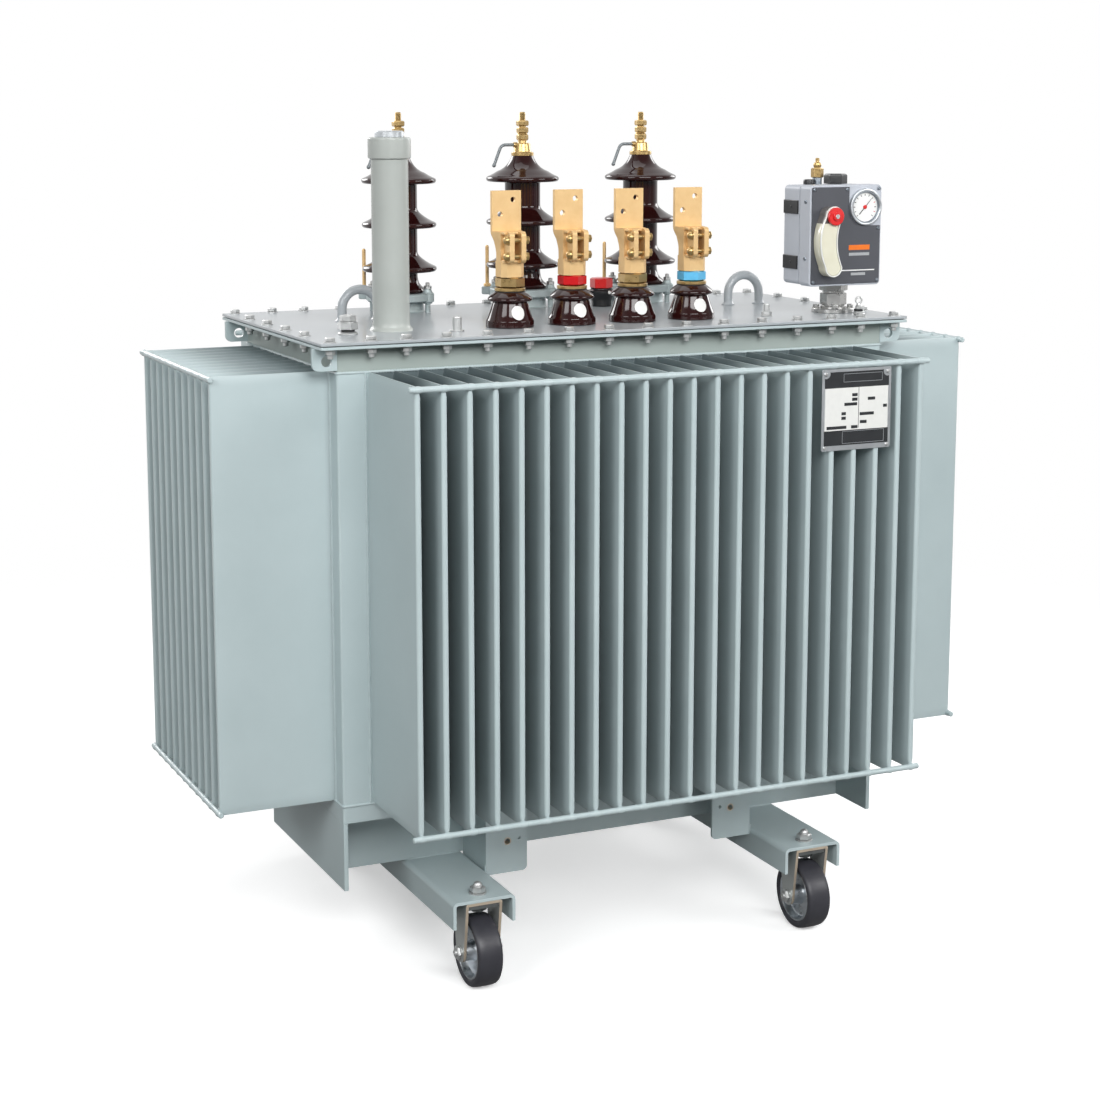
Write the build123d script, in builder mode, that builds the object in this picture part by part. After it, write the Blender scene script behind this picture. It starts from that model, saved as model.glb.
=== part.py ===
from build123d import *
import os

os.makedirs("parts", exist_ok=True)

# A distribution power transformer in an oil-filled corrugated tank on four wheels.
# X runs along the rows of bushings, Y from the low-voltage side to the high-voltage side, Z is up.
# The origin is on the floor, under the middle of the tank. All lengths are in millimetres.

# Wheels and running gear, from the floor up
wheel_diameter = 125
tyre_width = 45
rim_diameter = 98
rim_width = 41
hub_diameter = 32
hub_end_gap = 0.5
axle_diameter = 12
axle_clearance = 0.05
axle_head_flats = 22
axle_head_height = 8
wheel_spread = 355
fork_inside_width = 57
fork_sheet = 5
fork_crown_length = 60
fork_end_radius = 17
wheel_top_gap = 28
channel_spread = 325
channel_width = 115
channel_leg = 48
channel_sheet = 6
channel_bend_radius = 9
channel_end_margin = 1
bracket_width = 80
bracket_sheet = 6
bracket_overhang = 12
bracket_corner_radius = 9
bracket_hole_diameter = 14
bracket_hole_inset = 42
bracket_hole_height = 58

# Base frame under the tank
base_plate_height = 120
base_plate_thickness = 8
cross_plate_inset = 110

# Tank: panels of folded sheet with hollow fins, between an upper collar and a lower skirt of plain strip
sheet = 1.5
strip_thickness = 4
skirt_height = 31
fin_height = 745
collar_height = 42.5
floor_thickness = 6
fin_thickness = 10.5
fin_fold_bevel = 3
fin_pinch_height = 18
fin_pinch_thickness = 3
front_fin_count = 22
front_fin_pitch = 45
front_fin_depth = 220.5
front_corner_strip = 52.75
side_fin_count = 11
side_fin_pitch = 42
side_fin_depth = 205.5
side_corner_strip = 39.75
rod_diameter = 10
rod_drop = 4
rod_overrun = 10

# Round bars are drawn with this many sides
bar_sides = 12

# Cover and its flange
flange_end_reach = 37.5
flange_side_reach = 32
flange_thickness = 5
gasket_thickness = 1.5
gasket_inset = 6
cover_thickness = 5
lug_length = 42
lug_height = 38
lug_thickness = 8
lug_hole_diameter = 18
lug_hole_inset = 25
lug_hole_drop = 22
lug_bevel = 10

# Core and windings, sealed inside the tank
core_limb = 130
core_foot_height = 60
core_headroom = 58
winding_pitch = 300
winding_outer_width = 280
winding_inner_width = 190
winding_corner_radius = 70
winding_top_gap = 30

# High-voltage bushings
hv_count = 3
hv_pitch = 253
hv_centre_x = 3
hv_row_inset = 97
turret_diameter = 89
turret_height = 21
hv_flange_diameter = 126
hv_flange_thickness = 15
hv_core_diameter = 68
hv_shed_diameter = 140
hv_shed_count = 3
hv_shed_pitch = 82
hv_first_shed_height = 45
hv_rim_thickness = 11
hv_flare_height = 30
hv_porcelain_height = 252
hv_top_diameter = 40
hv_cap_diameter = 43
hv_cap_lip = 5
hv_cap_top_diameter = 27
hv_cap_shoulder = 15
hv_cap_height = 27
hv_nut_flats = 22
hv_nut_height = 11
hv_nut_gap = 6
hv_stud_diameter = 12
hv_stud_length = 56
horn_diameter = 6
horn_boss_diameter = 10
horn_boss_reach = 19
horn_height = 21
horn_reach = 25
horn_drop = 38
horn_lean = 15
horn_bend_radius = 9
lower_horn_angle = 133
lower_horn_gap = 1.5
lower_horn_diameter = 7
lower_horn_length = 80
lower_horn_ear_diameter = 22

# Low-voltage bushings
lv_count = 4
lv_pitch = 120
lv_centre_x = 4.5
lv_row_inset = 129
lv_base_diameter = 85
lv_base_band = 12
lv_neck_diameter = 60
lv_neck_height = 43
lv_shed_diameter = 79
lv_shed_height = 50
lv_top_diameter = 51
lv_insulator_height = 63
lv_washer_diameter = 54
lv_washer_height = 6
lv_nut_flats = 45
lv_nut_height = 21
lv_barrel_width = 43
lv_barrel_chamfer = 8
lv_barrel_height = 85
lv_clamp_height = 60
lv_ear_reach = 36
lv_ear_thickness = 9
lv_slit = 13
lv_ear_bevel = 8
lv_flag_width = 55
lv_flag_height = 67
lv_flag_thickness = 8
lv_flag_hole_diameter = 10
lv_flag_hole_spacing = 25
lv_gusset_drop = 40

# Filler tube
filler_end_inset = 183
filler_side_inset = 162
filler_diameter = 64
filler_wall = 3
filler_height = 296
filler_weld_ring_diameter = 76
filler_weld_ring_height = 10
filler_collar_diameter = 74
filler_collar_height = 34
filler_disc_diameter = 50
filler_disc_height = 11

# Lifting eyes
eye_y = 50
left_eye_inset = 183
right_eye_inset = 153
eye_bar_diameter = 15
eye_width = 80
eye_height = 66
eye_bend_radius = 24

# Protection relay on its neck
relay_end_inset = 93
relay_side_inset = 72
relay_neck_offset = 12
relay_neck_depth = 57
relay_width = 154
relay_depth = 98
relay_height = 185
relay_corner_radius = 8
relay_lid_depth = 36
relay_neck_height = 54
relay_flange_diameter = 90
relay_flange_height = 8
relay_neck_diameter = 46
relay_union_flats = 52
relay_union_height = 14
relay_plate_thickness = 2
relay_plate_margin = 5
dial_diameter = 60
dial_inset = 37
dial_drop = 41
dial_depth = 4
dial_bezel_width = 4
dial_bezel_depth = 6
sight_width = 36
sight_depth = 29
sight_top_inset = 38
sight_top_drop = 52
sight_length = 93
sight_bow = 11
sight_cap_depth = 8
relay_valve_inset = 55
relay_valve_flats = 22
relay_valve_stem_diameter = 12
relay_valve_stem_height = 22
relay_valve_height = 48
relay_cap_inset = 95
relay_cap_flats = 39
relay_cap_height = 19

# Small fittings on the cover
tap_end_inset = 426
tap_side_inset = 158
tap_body_diameter = 40
tap_collar_diameter = 53
tap_collar_height = 6
tap_body_height = 34
tap_cap_flats = 38
tap_cap_height = 21
pocket_end_inset = 91
pocket_side_inset = 126
pocket_diameter = 16
pocket_height = 30
pocket_hex_flats = 26
pocket_hex_height = 9
left_stud_end_inset = 279
left_stud_side_inset = 97
left_stud_diameter = 16
left_stud_height = 26
right_stud_end_inset = 239
right_stud_side_inset = 105
right_stud_diameter = 12
right_stud_height = 24

# One overrun for every cut that goes right through
overrun = 20

# Heights that follow from the sizes above
axle_z = wheel_diameter / 2
fork_top_z = wheel_diameter + wheel_top_gap + fork_sheet
channel_top_z = fork_top_z + channel_sheet
tank_bottom_z = channel_top_z + base_plate_height
fin_bottom_z = tank_bottom_z + skirt_height
fin_top_z = fin_bottom_z + fin_height
wall_top_z = fin_top_z + collar_height
flange_top_z = wall_top_z + flange_thickness
gasket_top_z = flange_top_z + gasket_thickness
cover_top_z = gasket_top_z + cover_thickness
hv_flange_top_z = cover_top_z + turret_height + hv_flange_thickness
hv_porcelain_top_z = hv_flange_top_z + hv_porcelain_height
lv_washer_z = cover_top_z + lv_insulator_height
lv_nut_z = lv_washer_z + lv_washer_height
lv_barrel_z = lv_nut_z + lv_nut_height

# The banks of fins and the plain strips beside them set the tank's size, and the tank sets the cover's
long_bank = (front_fin_count - 1) * front_fin_pitch + fin_thickness
short_bank = (side_fin_count - 1) * side_fin_pitch + fin_thickness
tank_length = long_bank + 2 * front_corner_strip
tank_width = short_bank + 2 * side_corner_strip
cover_length = tank_length + 2 * flange_end_reach
cover_width = tank_width + 2 * flange_side_reach
cover_end_x = cover_length / 2
cover_side_y = cover_width / 2

ends = (-1, 1)
corners = {"front_left": (-1, -1), "front_right": (1, -1), "rear_left": (-1, 1), "rear_right": (1, 1)}


def row(count, pitch, centre_x, row_y):
    return [(centre_x + (i - (count - 1) / 2) * pitch, row_y) for i in range(count)]


hv_places = row(hv_count, hv_pitch, hv_centre_x, cover_side_y - hv_row_inset)
lv_places = row(lv_count, lv_pitch, lv_centre_x, lv_row_inset - cover_side_y)
# The lower arcing horns stand just clear of the sheds
lower_horn_offset = hv_shed_diameter / 2 + lower_horn_gap + lower_horn_diameter / 2


def save(piece, node):
    piece.part.label = node
    export_step(piece.part, f"parts/{node}.step")


# Section of a round bar, its flats square to the axes
def bar_section(diameter):
    return RegularPolygon(diameter / 2, bar_sides, major_radius=False, rotation=180 / bar_sides)


# Tank walls: each panel is one folded sheet, whose hollow fins are pinched shut at both ends and notched
# at the tips of the pinches for the stay rods
rod_heights = (fin_bottom_z + rod_drop, fin_top_z - rod_drop)


def corrugated_wall(length, fin_count, fin_pitch, fin_depth):
    with BuildPart() as fin:
        with BuildSketch(Plane.XY.offset(fin_bottom_z)):
            Rectangle(fin_thickness, fin_depth, align=(Align.CENTER, Align.MAX))
            chamfer(vertices().group_by(Axis.Y)[0], length=fin_fold_bevel)
        extrude(amount=fin_height)
        with BuildSketch(Plane.XZ):
            with BuildLine():
                edge = Polyline(
                    (0, fin_bottom_z),
                    (fin_pinch_thickness / 2, fin_bottom_z),
                    (fin_thickness / 2, fin_bottom_z + fin_pinch_height),
                    (fin_thickness / 2, fin_top_z - fin_pinch_height),
                    (fin_pinch_thickness / 2, fin_top_z),
                    (0, fin_top_z),
                )
                mirror(edge, about=Plane.YZ)
            make_face()
        extrude(amount=fin_depth, mode=Mode.INTERSECT)
        with BuildSketch(Plane.YZ):
            with Locations([(-fin_depth, rod_z) for rod_z in rod_heights]):
                Rectangle(rod_diameter, rod_diameter)
        extrude(amount=fin_thickness, both=True, mode=Mode.SUBTRACT)
    with BuildPart() as wall:
        with BuildSketch(Plane.XY.offset(fin_bottom_z)):
            Rectangle(length, sheet, align=(Align.CENTER, Align.MIN))
        extrude(amount=fin_height)
        with GridLocations(fin_pitch, 0, fin_count, 1):
            add(fin.part)
        with BuildSketch(Plane.XY.offset(fin_bottom_z + fin_pinch_height)):
            with GridLocations(fin_pitch, 0, fin_count, 1):
                with Locations((0, sheet)):
                    Rectangle(fin_thickness - 2 * sheet, fin_depth, align=(Align.CENTER, Align.MAX))
        extrude(amount=fin_height - 2 * fin_pinch_height, mode=Mode.SUBTRACT)
    return wall.part


long_wall = corrugated_wall(tank_length, front_fin_count, front_fin_pitch, front_fin_depth)
short_wall = corrugated_wall(tank_width - 2 * sheet, side_fin_count, side_fin_pitch, side_fin_depth)
walls = {
    "front_wall": (long_wall, Location((0, -tank_width / 2, 0))),
    "rear_wall": (long_wall, Location((0, tank_width / 2, 0), (0, 0, 180))),
    "left_wall": (short_wall, Location((-tank_length / 2, 0, 0), (0, 0, -90))),
    "right_wall": (short_wall, Location((tank_length / 2, 0, 0), (0, 0, 90))),
}
for node, (wall_part, place) in walls.items():
    with BuildPart() as wall:
        with Locations(place):
            add(wall_part)
    save(wall, node)

# Upper collar and lower skirt: rings of plain strip that the panels are welded between
for node, low_z, height in (
    ("tank_skirt", tank_bottom_z, skirt_height),
    ("tank_collar", fin_top_z, collar_height),
):
    with BuildPart() as ring:
        with BuildSketch(Plane.XY.offset(low_z)):
            Rectangle(tank_length, tank_width)
            offset(amount=-strip_thickness, mode=Mode.SUBTRACT)
        extrude(amount=height)
    save(ring, node)

# Stay rods along the upper and lower edges of each bank, lying in the fins' notches
front_tip_y = tank_width / 2 + front_fin_depth
side_tip_x = tank_length / 2 + side_fin_depth
with BuildPart() as stay_rods:
    with BuildSketch(Plane.YZ):
        with Locations([(side * front_tip_y, z) for side in ends for z in rod_heights]):
            bar_section(rod_diameter)
    extrude(amount=long_bank / 2 + rod_overrun, both=True)
    with BuildSketch(Plane.XZ):
        with Locations([(side * side_tip_x, z) for side in ends for z in rod_heights]):
            bar_section(rod_diameter)
    extrude(amount=short_bank / 2 + rod_overrun, both=True)
save(stay_rods, "stay_rods")

# Tank floor, inside the skirt
with BuildPart() as tank_floor:
    with BuildSketch(Plane.XY.offset(tank_bottom_z)):
        Rectangle(tank_length - 2 * strip_thickness, tank_width - 2 * strip_thickness)
    extrude(amount=floor_thickness)
save(tank_floor, "tank_floor")

# Flange ring on the collar, gasket and cover
with BuildPart() as tank_flange:
    with BuildSketch(Plane.XY.offset(wall_top_z)):
        Rectangle(cover_length, cover_width)
        Rectangle(tank_length - 2 * strip_thickness, tank_width - 2 * strip_thickness, mode=Mode.SUBTRACT)
    extrude(amount=flange_thickness)
save(tank_flange, "tank_flange")

with BuildPart() as cover_gasket:
    with BuildSketch(Plane.XY.offset(flange_top_z)):
        Rectangle(cover_length - 2 * gasket_inset, cover_width - 2 * gasket_inset)
        Rectangle(tank_length, tank_width, mode=Mode.SUBTRACT)
    extrude(amount=gasket_thickness)
save(cover_gasket, "cover_gasket")

with BuildPart() as cover_plate:
    with BuildSketch(Plane.XY.offset(gasket_top_z)):
        Rectangle(cover_length, cover_width)
    extrude(amount=cover_thickness)
save(cover_plate, "cover_plate")

# Pulling lugs under the flange at the four corners
with BuildPart() as pulling_lugs:
    for x_side in ends:
        for y_side in ends:
            lug_face_y = y_side * (tank_width / 2 - (lug_thickness if y_side > 0 else 0))
            tank_edge_x = x_side * tank_length / 2
            outer_x = x_side * (tank_length / 2 + lug_length)
            low_z = wall_top_z - lug_height
            with BuildSketch(Plane.XZ.offset(-lug_face_y)):
                with BuildLine():
                    Polyline(
                        (tank_edge_x, wall_top_z),
                        (outer_x, wall_top_z),
                        (outer_x, low_z + lug_bevel),
                        (outer_x - x_side * lug_bevel, low_z),
                        (tank_edge_x, low_z),
                        close=True,
                    )
                make_face()
                with Locations((outer_x - x_side * lug_hole_inset, wall_top_z - lug_hole_drop)):
                    Circle(lug_hole_diameter / 2, mode=Mode.SUBTRACT)
            extrude(amount=-lug_thickness)
save(pulling_lugs, "pulling_lugs")

# Base frame: two side plates under the tank's ends and two cross plates on the channels
cross_plate_y = tank_width / 2 - cross_plate_inset
with BuildPart() as side_plates:
    side_plate_rear_y = cross_plate_y + base_plate_thickness / 2
    side_plate_length = side_plate_rear_y + tank_width / 2
    side_plate_x = (tank_length - base_plate_thickness) / 2
    with BuildSketch(Plane.XY.offset(channel_top_z)):
        with Locations([(side * side_plate_x, side_plate_rear_y) for side in ends]):
            Rectangle(base_plate_thickness, side_plate_length, align=(Align.CENTER, Align.MAX))
    extrude(amount=base_plate_height)
save(side_plates, "side_plates")

with BuildPart() as cross_plates:
    with BuildSketch(Plane.XY.offset(channel_top_z)):
        with GridLocations(0, 2 * cross_plate_y, 1, 2):
            Rectangle(tank_length - 2 * base_plate_thickness, base_plate_thickness)
    extrude(amount=base_plate_height)
save(cross_plates, "cross_plates")

# Channels along Y that carry the wheel forks
channel_half_length = wheel_spread + fork_crown_length / 2 + channel_end_margin
for side, node in ((-1, "left_channel"), (1, "right_channel")):
    with BuildPart() as channel:
        with BuildSketch(Plane.XZ):
            with Locations((side * channel_spread, channel_top_z)):
                Rectangle(channel_width, channel_leg, align=(Align.CENTER, Align.MAX))
            fillet(vertices().group_by(Axis.Y)[-1], radius=channel_bend_radius)
            with Locations((side * channel_spread, channel_top_z - channel_sheet)):
                Rectangle(
                    channel_width - 2 * channel_sheet,
                    channel_leg,
                    align=(Align.CENTER, Align.MAX),
                    mode=Mode.SUBTRACT,
                )
        extrude(amount=channel_half_length, both=True)
    save(channel, node)

# Angle brackets on the channels' inner edges: a leg back to the cross plate and a flange with a hole
bracket_low_z = channel_top_z - bracket_overhang
bracket_height = tank_bottom_z - bracket_low_z
with BuildPart() as brackets:
    for x_side, y_side in corners.values():
        edge_x = x_side * (channel_spread - channel_width / 2)
        front_y = y_side * tank_width / 2
        leg_length = tank_width / 2 - cross_plate_y - base_plate_thickness / 2
        with BuildSketch(Plane.XY.offset(bracket_low_z)):
            with Locations((edge_x - x_side * bracket_sheet / 2, front_y - y_side * leg_length / 2)):
                Rectangle(bracket_sheet, leg_length)
        extrude(amount=bracket_height)
        with BuildSketch(Plane.XZ.offset(-front_y)):
            with Locations((edge_x - x_side * bracket_width / 2, bracket_low_z + bracket_height / 2)):
                Rectangle(bracket_width, bracket_height)
            free_corner = vertices().group_by(Axis.Y)[0].sort_by(Axis.X)[0 if x_side > 0 else -1]
            fillet(free_corner, radius=bracket_corner_radius)
            with Locations((edge_x - x_side * bracket_hole_inset, bracket_low_z + bracket_hole_height)):
                Circle(bracket_hole_diameter / 2, mode=Mode.SUBTRACT)
        extrude(amount=y_side * bracket_sheet)
save(brackets, "brackets")

# Fixed forks under the channel ends, with their axle bolts
arm_x = fork_inside_width / 2 + fork_sheet / 2
with BuildPart() as forks:
    for x_side, y_side in corners.values():
        wheel_x = x_side * channel_spread
        wheel_y = y_side * wheel_spread
        with BuildSketch(Plane.XY.offset(fork_top_z)):
            with Locations((wheel_x, wheel_y)):
                Rectangle(fork_inside_width + 2 * fork_sheet, fork_crown_length)
        extrude(amount=-fork_sheet)
        for arm_side in ends:
            with BuildSketch(Plane.YZ.offset(wheel_x + arm_side * arm_x)):
                with Locations((wheel_y, axle_z)):
                    Circle(fork_end_radius)
                with Locations((wheel_y, fork_top_z)):
                    Rectangle(fork_crown_length, fork_sheet, align=(Align.CENTER, Align.MAX))
                make_hull()
                with Locations((wheel_y, axle_z)):
                    Circle(axle_diameter / 2, mode=Mode.SUBTRACT)
            extrude(amount=fork_sheet / 2, both=True)
save(forks, "forks")

with BuildPart() as axle_bolts:
    head_x = fork_inside_width / 2 + fork_sheet
    for x_side, y_side in corners.values():
        wheel_x = x_side * channel_spread
        wheel_y = y_side * wheel_spread
        with BuildSketch(Plane.YZ.offset(wheel_x)):
            with Locations((wheel_y, axle_z)):
                Circle(axle_diameter / 2)
        extrude(amount=head_x, both=True)
        for head_side in ends:
            with BuildSketch(Plane.YZ.offset(wheel_x + head_side * head_x)):
                with Locations((wheel_y, axle_z)):
                    RegularPolygon(axle_head_flats / 2, 6, major_radius=False)
            extrude(amount=head_side * axle_head_height)
save(axle_bolts, "axle_bolts")

# Wheels: a solid tyre on a rim that turns on the axle bolt, both turned about X
with BuildPart() as tyre:
    with BuildSketch():
        with Locations((0, rim_diameter / 2)):
            Rectangle(tyre_width, (wheel_diameter - rim_diameter) / 2, align=(Align.CENTER, Align.MIN))
    revolve(axis=Axis.X)

with BuildPart() as rim:
    bore_radius = axle_diameter / 2 + axle_clearance
    with BuildSketch():
        with Locations((0, bore_radius)):
            Rectangle(rim_width, rim_diameter / 2 - bore_radius, align=(Align.CENTER, Align.MIN))
            Rectangle(
                fork_inside_width - 2 * hub_end_gap,
                hub_diameter / 2 - bore_radius,
                align=(Align.CENTER, Align.MIN),
            )
    revolve(axis=Axis.X)

for corner, (x_side, y_side) in corners.items():
    wheel_centre = (x_side * channel_spread, y_side * wheel_spread, axle_z)
    with BuildPart() as placed_tyre:
        with Locations(wheel_centre):
            add(tyre.part)
    save(placed_tyre, f"tyre_{corner}")
    with BuildPart() as placed_rim:
        with Locations(wheel_centre):
            add(rim.part)
    save(placed_rim, f"rim_{corner}")

# Three-limb core on two feet, and a winding round each limb
core_bottom_z = tank_bottom_z + floor_thickness + core_foot_height
core_window_low_z = core_bottom_z + core_limb
core_window_height = gasket_top_z - core_headroom - core_limb - core_window_low_z
limb_count = 3
with BuildPart() as core:
    with BuildSketch(Plane.XZ):
        with Locations((0, core_bottom_z)):
            Rectangle(
                (limb_count - 1) * winding_pitch + core_limb,
                core_window_height + 2 * core_limb,
                align=(Align.CENTER, Align.MIN),
            )
        with Locations((0, core_window_low_z + core_window_height / 2)):
            with GridLocations(winding_pitch, 0, limb_count - 1, 1):
                Rectangle(winding_pitch - core_limb, core_window_height, mode=Mode.SUBTRACT)
        with Locations([(side * winding_pitch, core_bottom_z) for side in ends]):
            Rectangle(core_limb, core_foot_height, align=(Align.CENTER, Align.MAX))
    extrude(amount=core_limb / 2, both=True)
save(core, "core")

with BuildPart() as windings:
    with BuildSketch(Plane.XY.offset(core_window_low_z)):
        with GridLocations(winding_pitch, 0, limb_count, 1):
            RectangleRounded(winding_outer_width, winding_outer_width, winding_corner_radius)
            Rectangle(winding_inner_width, winding_inner_width, mode=Mode.SUBTRACT)
    extrude(amount=core_window_height - winding_top_gap)
save(windings, "windings")

# High-voltage bushings
with BuildPart() as hv_flanges:
    for place in hv_places:
        with BuildSketch(Plane.XY.offset(cover_top_z)):
            with Locations(place):
                Circle(turret_diameter / 2)
        extrude(amount=turret_height)
        with BuildSketch(Plane.XY.offset(cover_top_z + turret_height)):
            with Locations(place):
                Circle(hv_flange_diameter / 2)
                with PolarLocations(lower_horn_offset, 1, start_angle=lower_horn_angle):
                    Circle(lower_horn_ear_diameter / 2)
            make_hull()
        extrude(amount=hv_flange_thickness)
save(hv_flanges, "hv_flanges")

with BuildPart() as porcelain:
    core_radius = hv_core_diameter / 2
    shed_radius = hv_shed_diameter / 2
    profile = [(0, 0), (core_radius, 0)]
    for i in range(hv_shed_count):
        rim_low = hv_first_shed_height + i * hv_shed_pitch - hv_rim_thickness / 2
        rim_high = rim_low + hv_rim_thickness
        profile += [(core_radius, rim_low), (shed_radius, rim_low), (shed_radius, rim_high)]
        if i < hv_shed_count - 1:
            profile += [(core_radius, rim_high + hv_flare_height)]
    profile += [(hv_top_diameter / 2, hv_porcelain_height), (0, hv_porcelain_height)]
    with BuildSketch(Plane.XZ):
        with BuildLine():
            Polyline(*profile, close=True)
        make_face()
    revolve(axis=Axis.Z)

with BuildPart() as hv_porcelains:
    with Locations([(x, y, hv_flange_top_z) for x, y in hv_places]):
        add(porcelain.part)
save(hv_porcelains, "hv_porcelains")

with BuildPart() as terminal:
    with BuildSketch(Plane.XZ):
        with BuildLine():
            Polyline(
                (0, 0),
                (hv_cap_diameter / 2, 0),
                (hv_cap_diameter / 2, hv_cap_lip),
                (hv_cap_top_diameter / 2, hv_cap_shoulder),
                (hv_cap_top_diameter / 2, hv_cap_height),
                (hv_stud_diameter / 2, hv_cap_height),
                (hv_stud_diameter / 2, hv_cap_height + hv_stud_length),
                (0, hv_cap_height + hv_stud_length),
                close=True,
            )
        make_face()
    revolve(axis=Axis.Z)
    for nut_z in (hv_cap_height, hv_cap_height + hv_nut_height + hv_nut_gap):
        with BuildSketch(Plane.XY.offset(nut_z)):
            RegularPolygon(hv_nut_flats / 2, 6, major_radius=False)
        extrude(amount=hv_nut_height)
    with BuildSketch(Plane.YZ):
        with Locations((0, horn_height)):
            bar_section(horn_boss_diameter)
    extrude(amount=-horn_boss_reach)

with BuildPart() as hv_terminals:
    with Locations([(x, y, hv_porcelain_top_z) for x, y in hv_places]):
        add(terminal.part)
save(hv_terminals, "hv_terminals")

# Arcing horns: a bent rod from each terminal cap and an upright rod on each flange's ear
with BuildPart() as upper_horns:
    for place in hv_places:
        boss_x = place[0] - horn_boss_reach
        horn_z = hv_porcelain_top_z + horn_height
        with BuildLine() as route:
            FilletPolyline(
                (boss_x, place[1], horn_z),
                (boss_x - horn_reach, place[1], horn_z),
                (boss_x - horn_reach - horn_lean, place[1], horn_z - horn_drop),
                radius=horn_bend_radius,
            )
        with BuildSketch(Plane(origin=(boss_x, place[1], horn_z), z_dir=(-1, 0, 0))):
            bar_section(horn_diameter)
        sweep(path=route.line)
save(upper_horns, "upper_horns")

with BuildPart() as lower_horns:
    with BuildSketch(Plane.XY.offset(hv_flange_top_z)):
        with Locations(hv_places):
            with PolarLocations(lower_horn_offset, 1, start_angle=lower_horn_angle):
                bar_section(lower_horn_diameter)
    extrude(amount=lower_horn_length)
save(lower_horns, "lower_horns")

# Low-voltage bushings
with BuildPart() as insulator:
    with BuildSketch(Plane.XZ):
        with BuildLine():
            Polyline(
                (0, 0),
                (lv_base_diameter / 2, 0),
                (lv_base_diameter / 2, lv_base_band),
                (lv_neck_diameter / 2, lv_neck_height),
                (lv_shed_diameter / 2, lv_shed_height),
                (lv_top_diameter / 2, lv_insulator_height),
                (0, lv_insulator_height),
                close=True,
            )
        make_face()
    revolve(axis=Axis.Z)

with BuildPart() as lv_insulators:
    with Locations([(x, y, cover_top_z) for x, y in lv_places]):
        add(insulator.part)
save(lv_insulators, "lv_insulators")

lv_nut_nodes = {"lv_nuts_brass": (0, 2), "lv_nut_red": (1,), "lv_nut_blue": (3,)}
for node, numbers in lv_nut_nodes.items():
    with BuildPart() as nuts:
        for i in numbers:
            with BuildSketch(Plane.XY.offset(lv_nut_z)):
                with Locations(lv_places[i]):
                    RegularPolygon(lv_nut_flats / 2, 6, major_radius=False)
            extrude(amount=lv_nut_height)
    save(nuts, node)

with BuildPart() as lv_washers:
    with BuildSketch(Plane.XY.offset(lv_washer_z)):
        with Locations(lv_places):
            Circle(lv_washer_diameter / 2)
    extrude(amount=lv_washer_height)
save(lv_washers, "lv_washers")

# Cast connector: a square barrel with a split clamp in front and a flag with two holes behind
with BuildPart() as connector:
    barrel_half = lv_barrel_width / 2
    clamp_low = lv_barrel_height - lv_clamp_height
    with BuildSketch():
        Rectangle(lv_barrel_width, lv_barrel_width)
        chamfer(vertices(), length=lv_barrel_chamfer)
    extrude(amount=lv_barrel_height)
    for side in ends:
        with BuildSketch(Plane.YZ.offset(side * (lv_slit + lv_ear_thickness) / 2)):
            with Locations((-lv_ear_reach, clamp_low)):
                Rectangle(lv_ear_reach, lv_clamp_height, align=(Align.MIN, Align.MIN))
            chamfer(vertices().group_by(Axis.X)[0], length=lv_ear_bevel)
        extrude(amount=lv_ear_thickness / 2, both=True)
    with BuildSketch(Plane.XY.offset(clamp_low)):
        Rectangle(lv_slit, lv_ear_reach + overrun, align=(Align.CENTER, Align.MAX))
    extrude(amount=lv_clamp_height + overrun, mode=Mode.SUBTRACT)
    with BuildSketch(Plane.XZ.offset(-barrel_half)):
        with BuildLine():
            Polyline(
                (-lv_flag_width / 2, lv_barrel_height + lv_flag_height),
                (-lv_flag_width / 2, lv_barrel_height),
                (-barrel_half / 2, lv_barrel_height - lv_gusset_drop),
                (barrel_half / 2, lv_barrel_height - lv_gusset_drop),
                (lv_flag_width / 2, lv_barrel_height),
                (lv_flag_width / 2, lv_barrel_height + lv_flag_height),
                close=True,
            )
        make_face()
        flag_middle = lv_barrel_height + lv_flag_height / 2
        hole_step = lv_flag_hole_spacing / 2
        with Locations([(side * hole_step, flag_middle + side * hole_step) for side in ends]):
            Circle(lv_flag_hole_diameter / 2, mode=Mode.SUBTRACT)
    extrude(amount=lv_flag_thickness)

with BuildPart() as lv_connectors:
    with Locations([(x, y, lv_barrel_z) for x, y in lv_places]):
        add(connector.part)
save(lv_connectors, "lv_connectors")

# Filler tube with a ring welded round its foot, and its cap
filler_place = (filler_end_inset - cover_end_x, filler_side_inset - cover_side_y)
with BuildPart() as filler_tube:
    with BuildSketch(Plane.XY.offset(cover_top_z)):
        with Locations(filler_place):
            Circle(filler_diameter / 2)
    extrude(amount=filler_height)
    with BuildSketch(Plane.XY.offset(cover_top_z)):
        with Locations(filler_place):
            Circle(filler_weld_ring_diameter / 2)
    extrude(amount=filler_weld_ring_height)
    with BuildSketch(Plane.XY.offset(cover_top_z)):
        with Locations(filler_place):
            Circle(filler_diameter / 2 - filler_wall)
    extrude(amount=filler_height, mode=Mode.SUBTRACT)
save(filler_tube, "filler_tube")

with BuildPart() as filler_cap:
    with BuildSketch(Plane.XY.offset(cover_top_z + filler_height)):
        with Locations(filler_place):
            Circle(filler_collar_diameter / 2)
    extrude(amount=filler_collar_height)
    with BuildSketch(Plane.XY.offset(cover_top_z + filler_height + filler_collar_height)):
        with Locations(filler_place):
            Circle(filler_disc_diameter / 2)
    extrude(amount=filler_disc_height)
save(filler_cap, "filler_cap")

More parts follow.
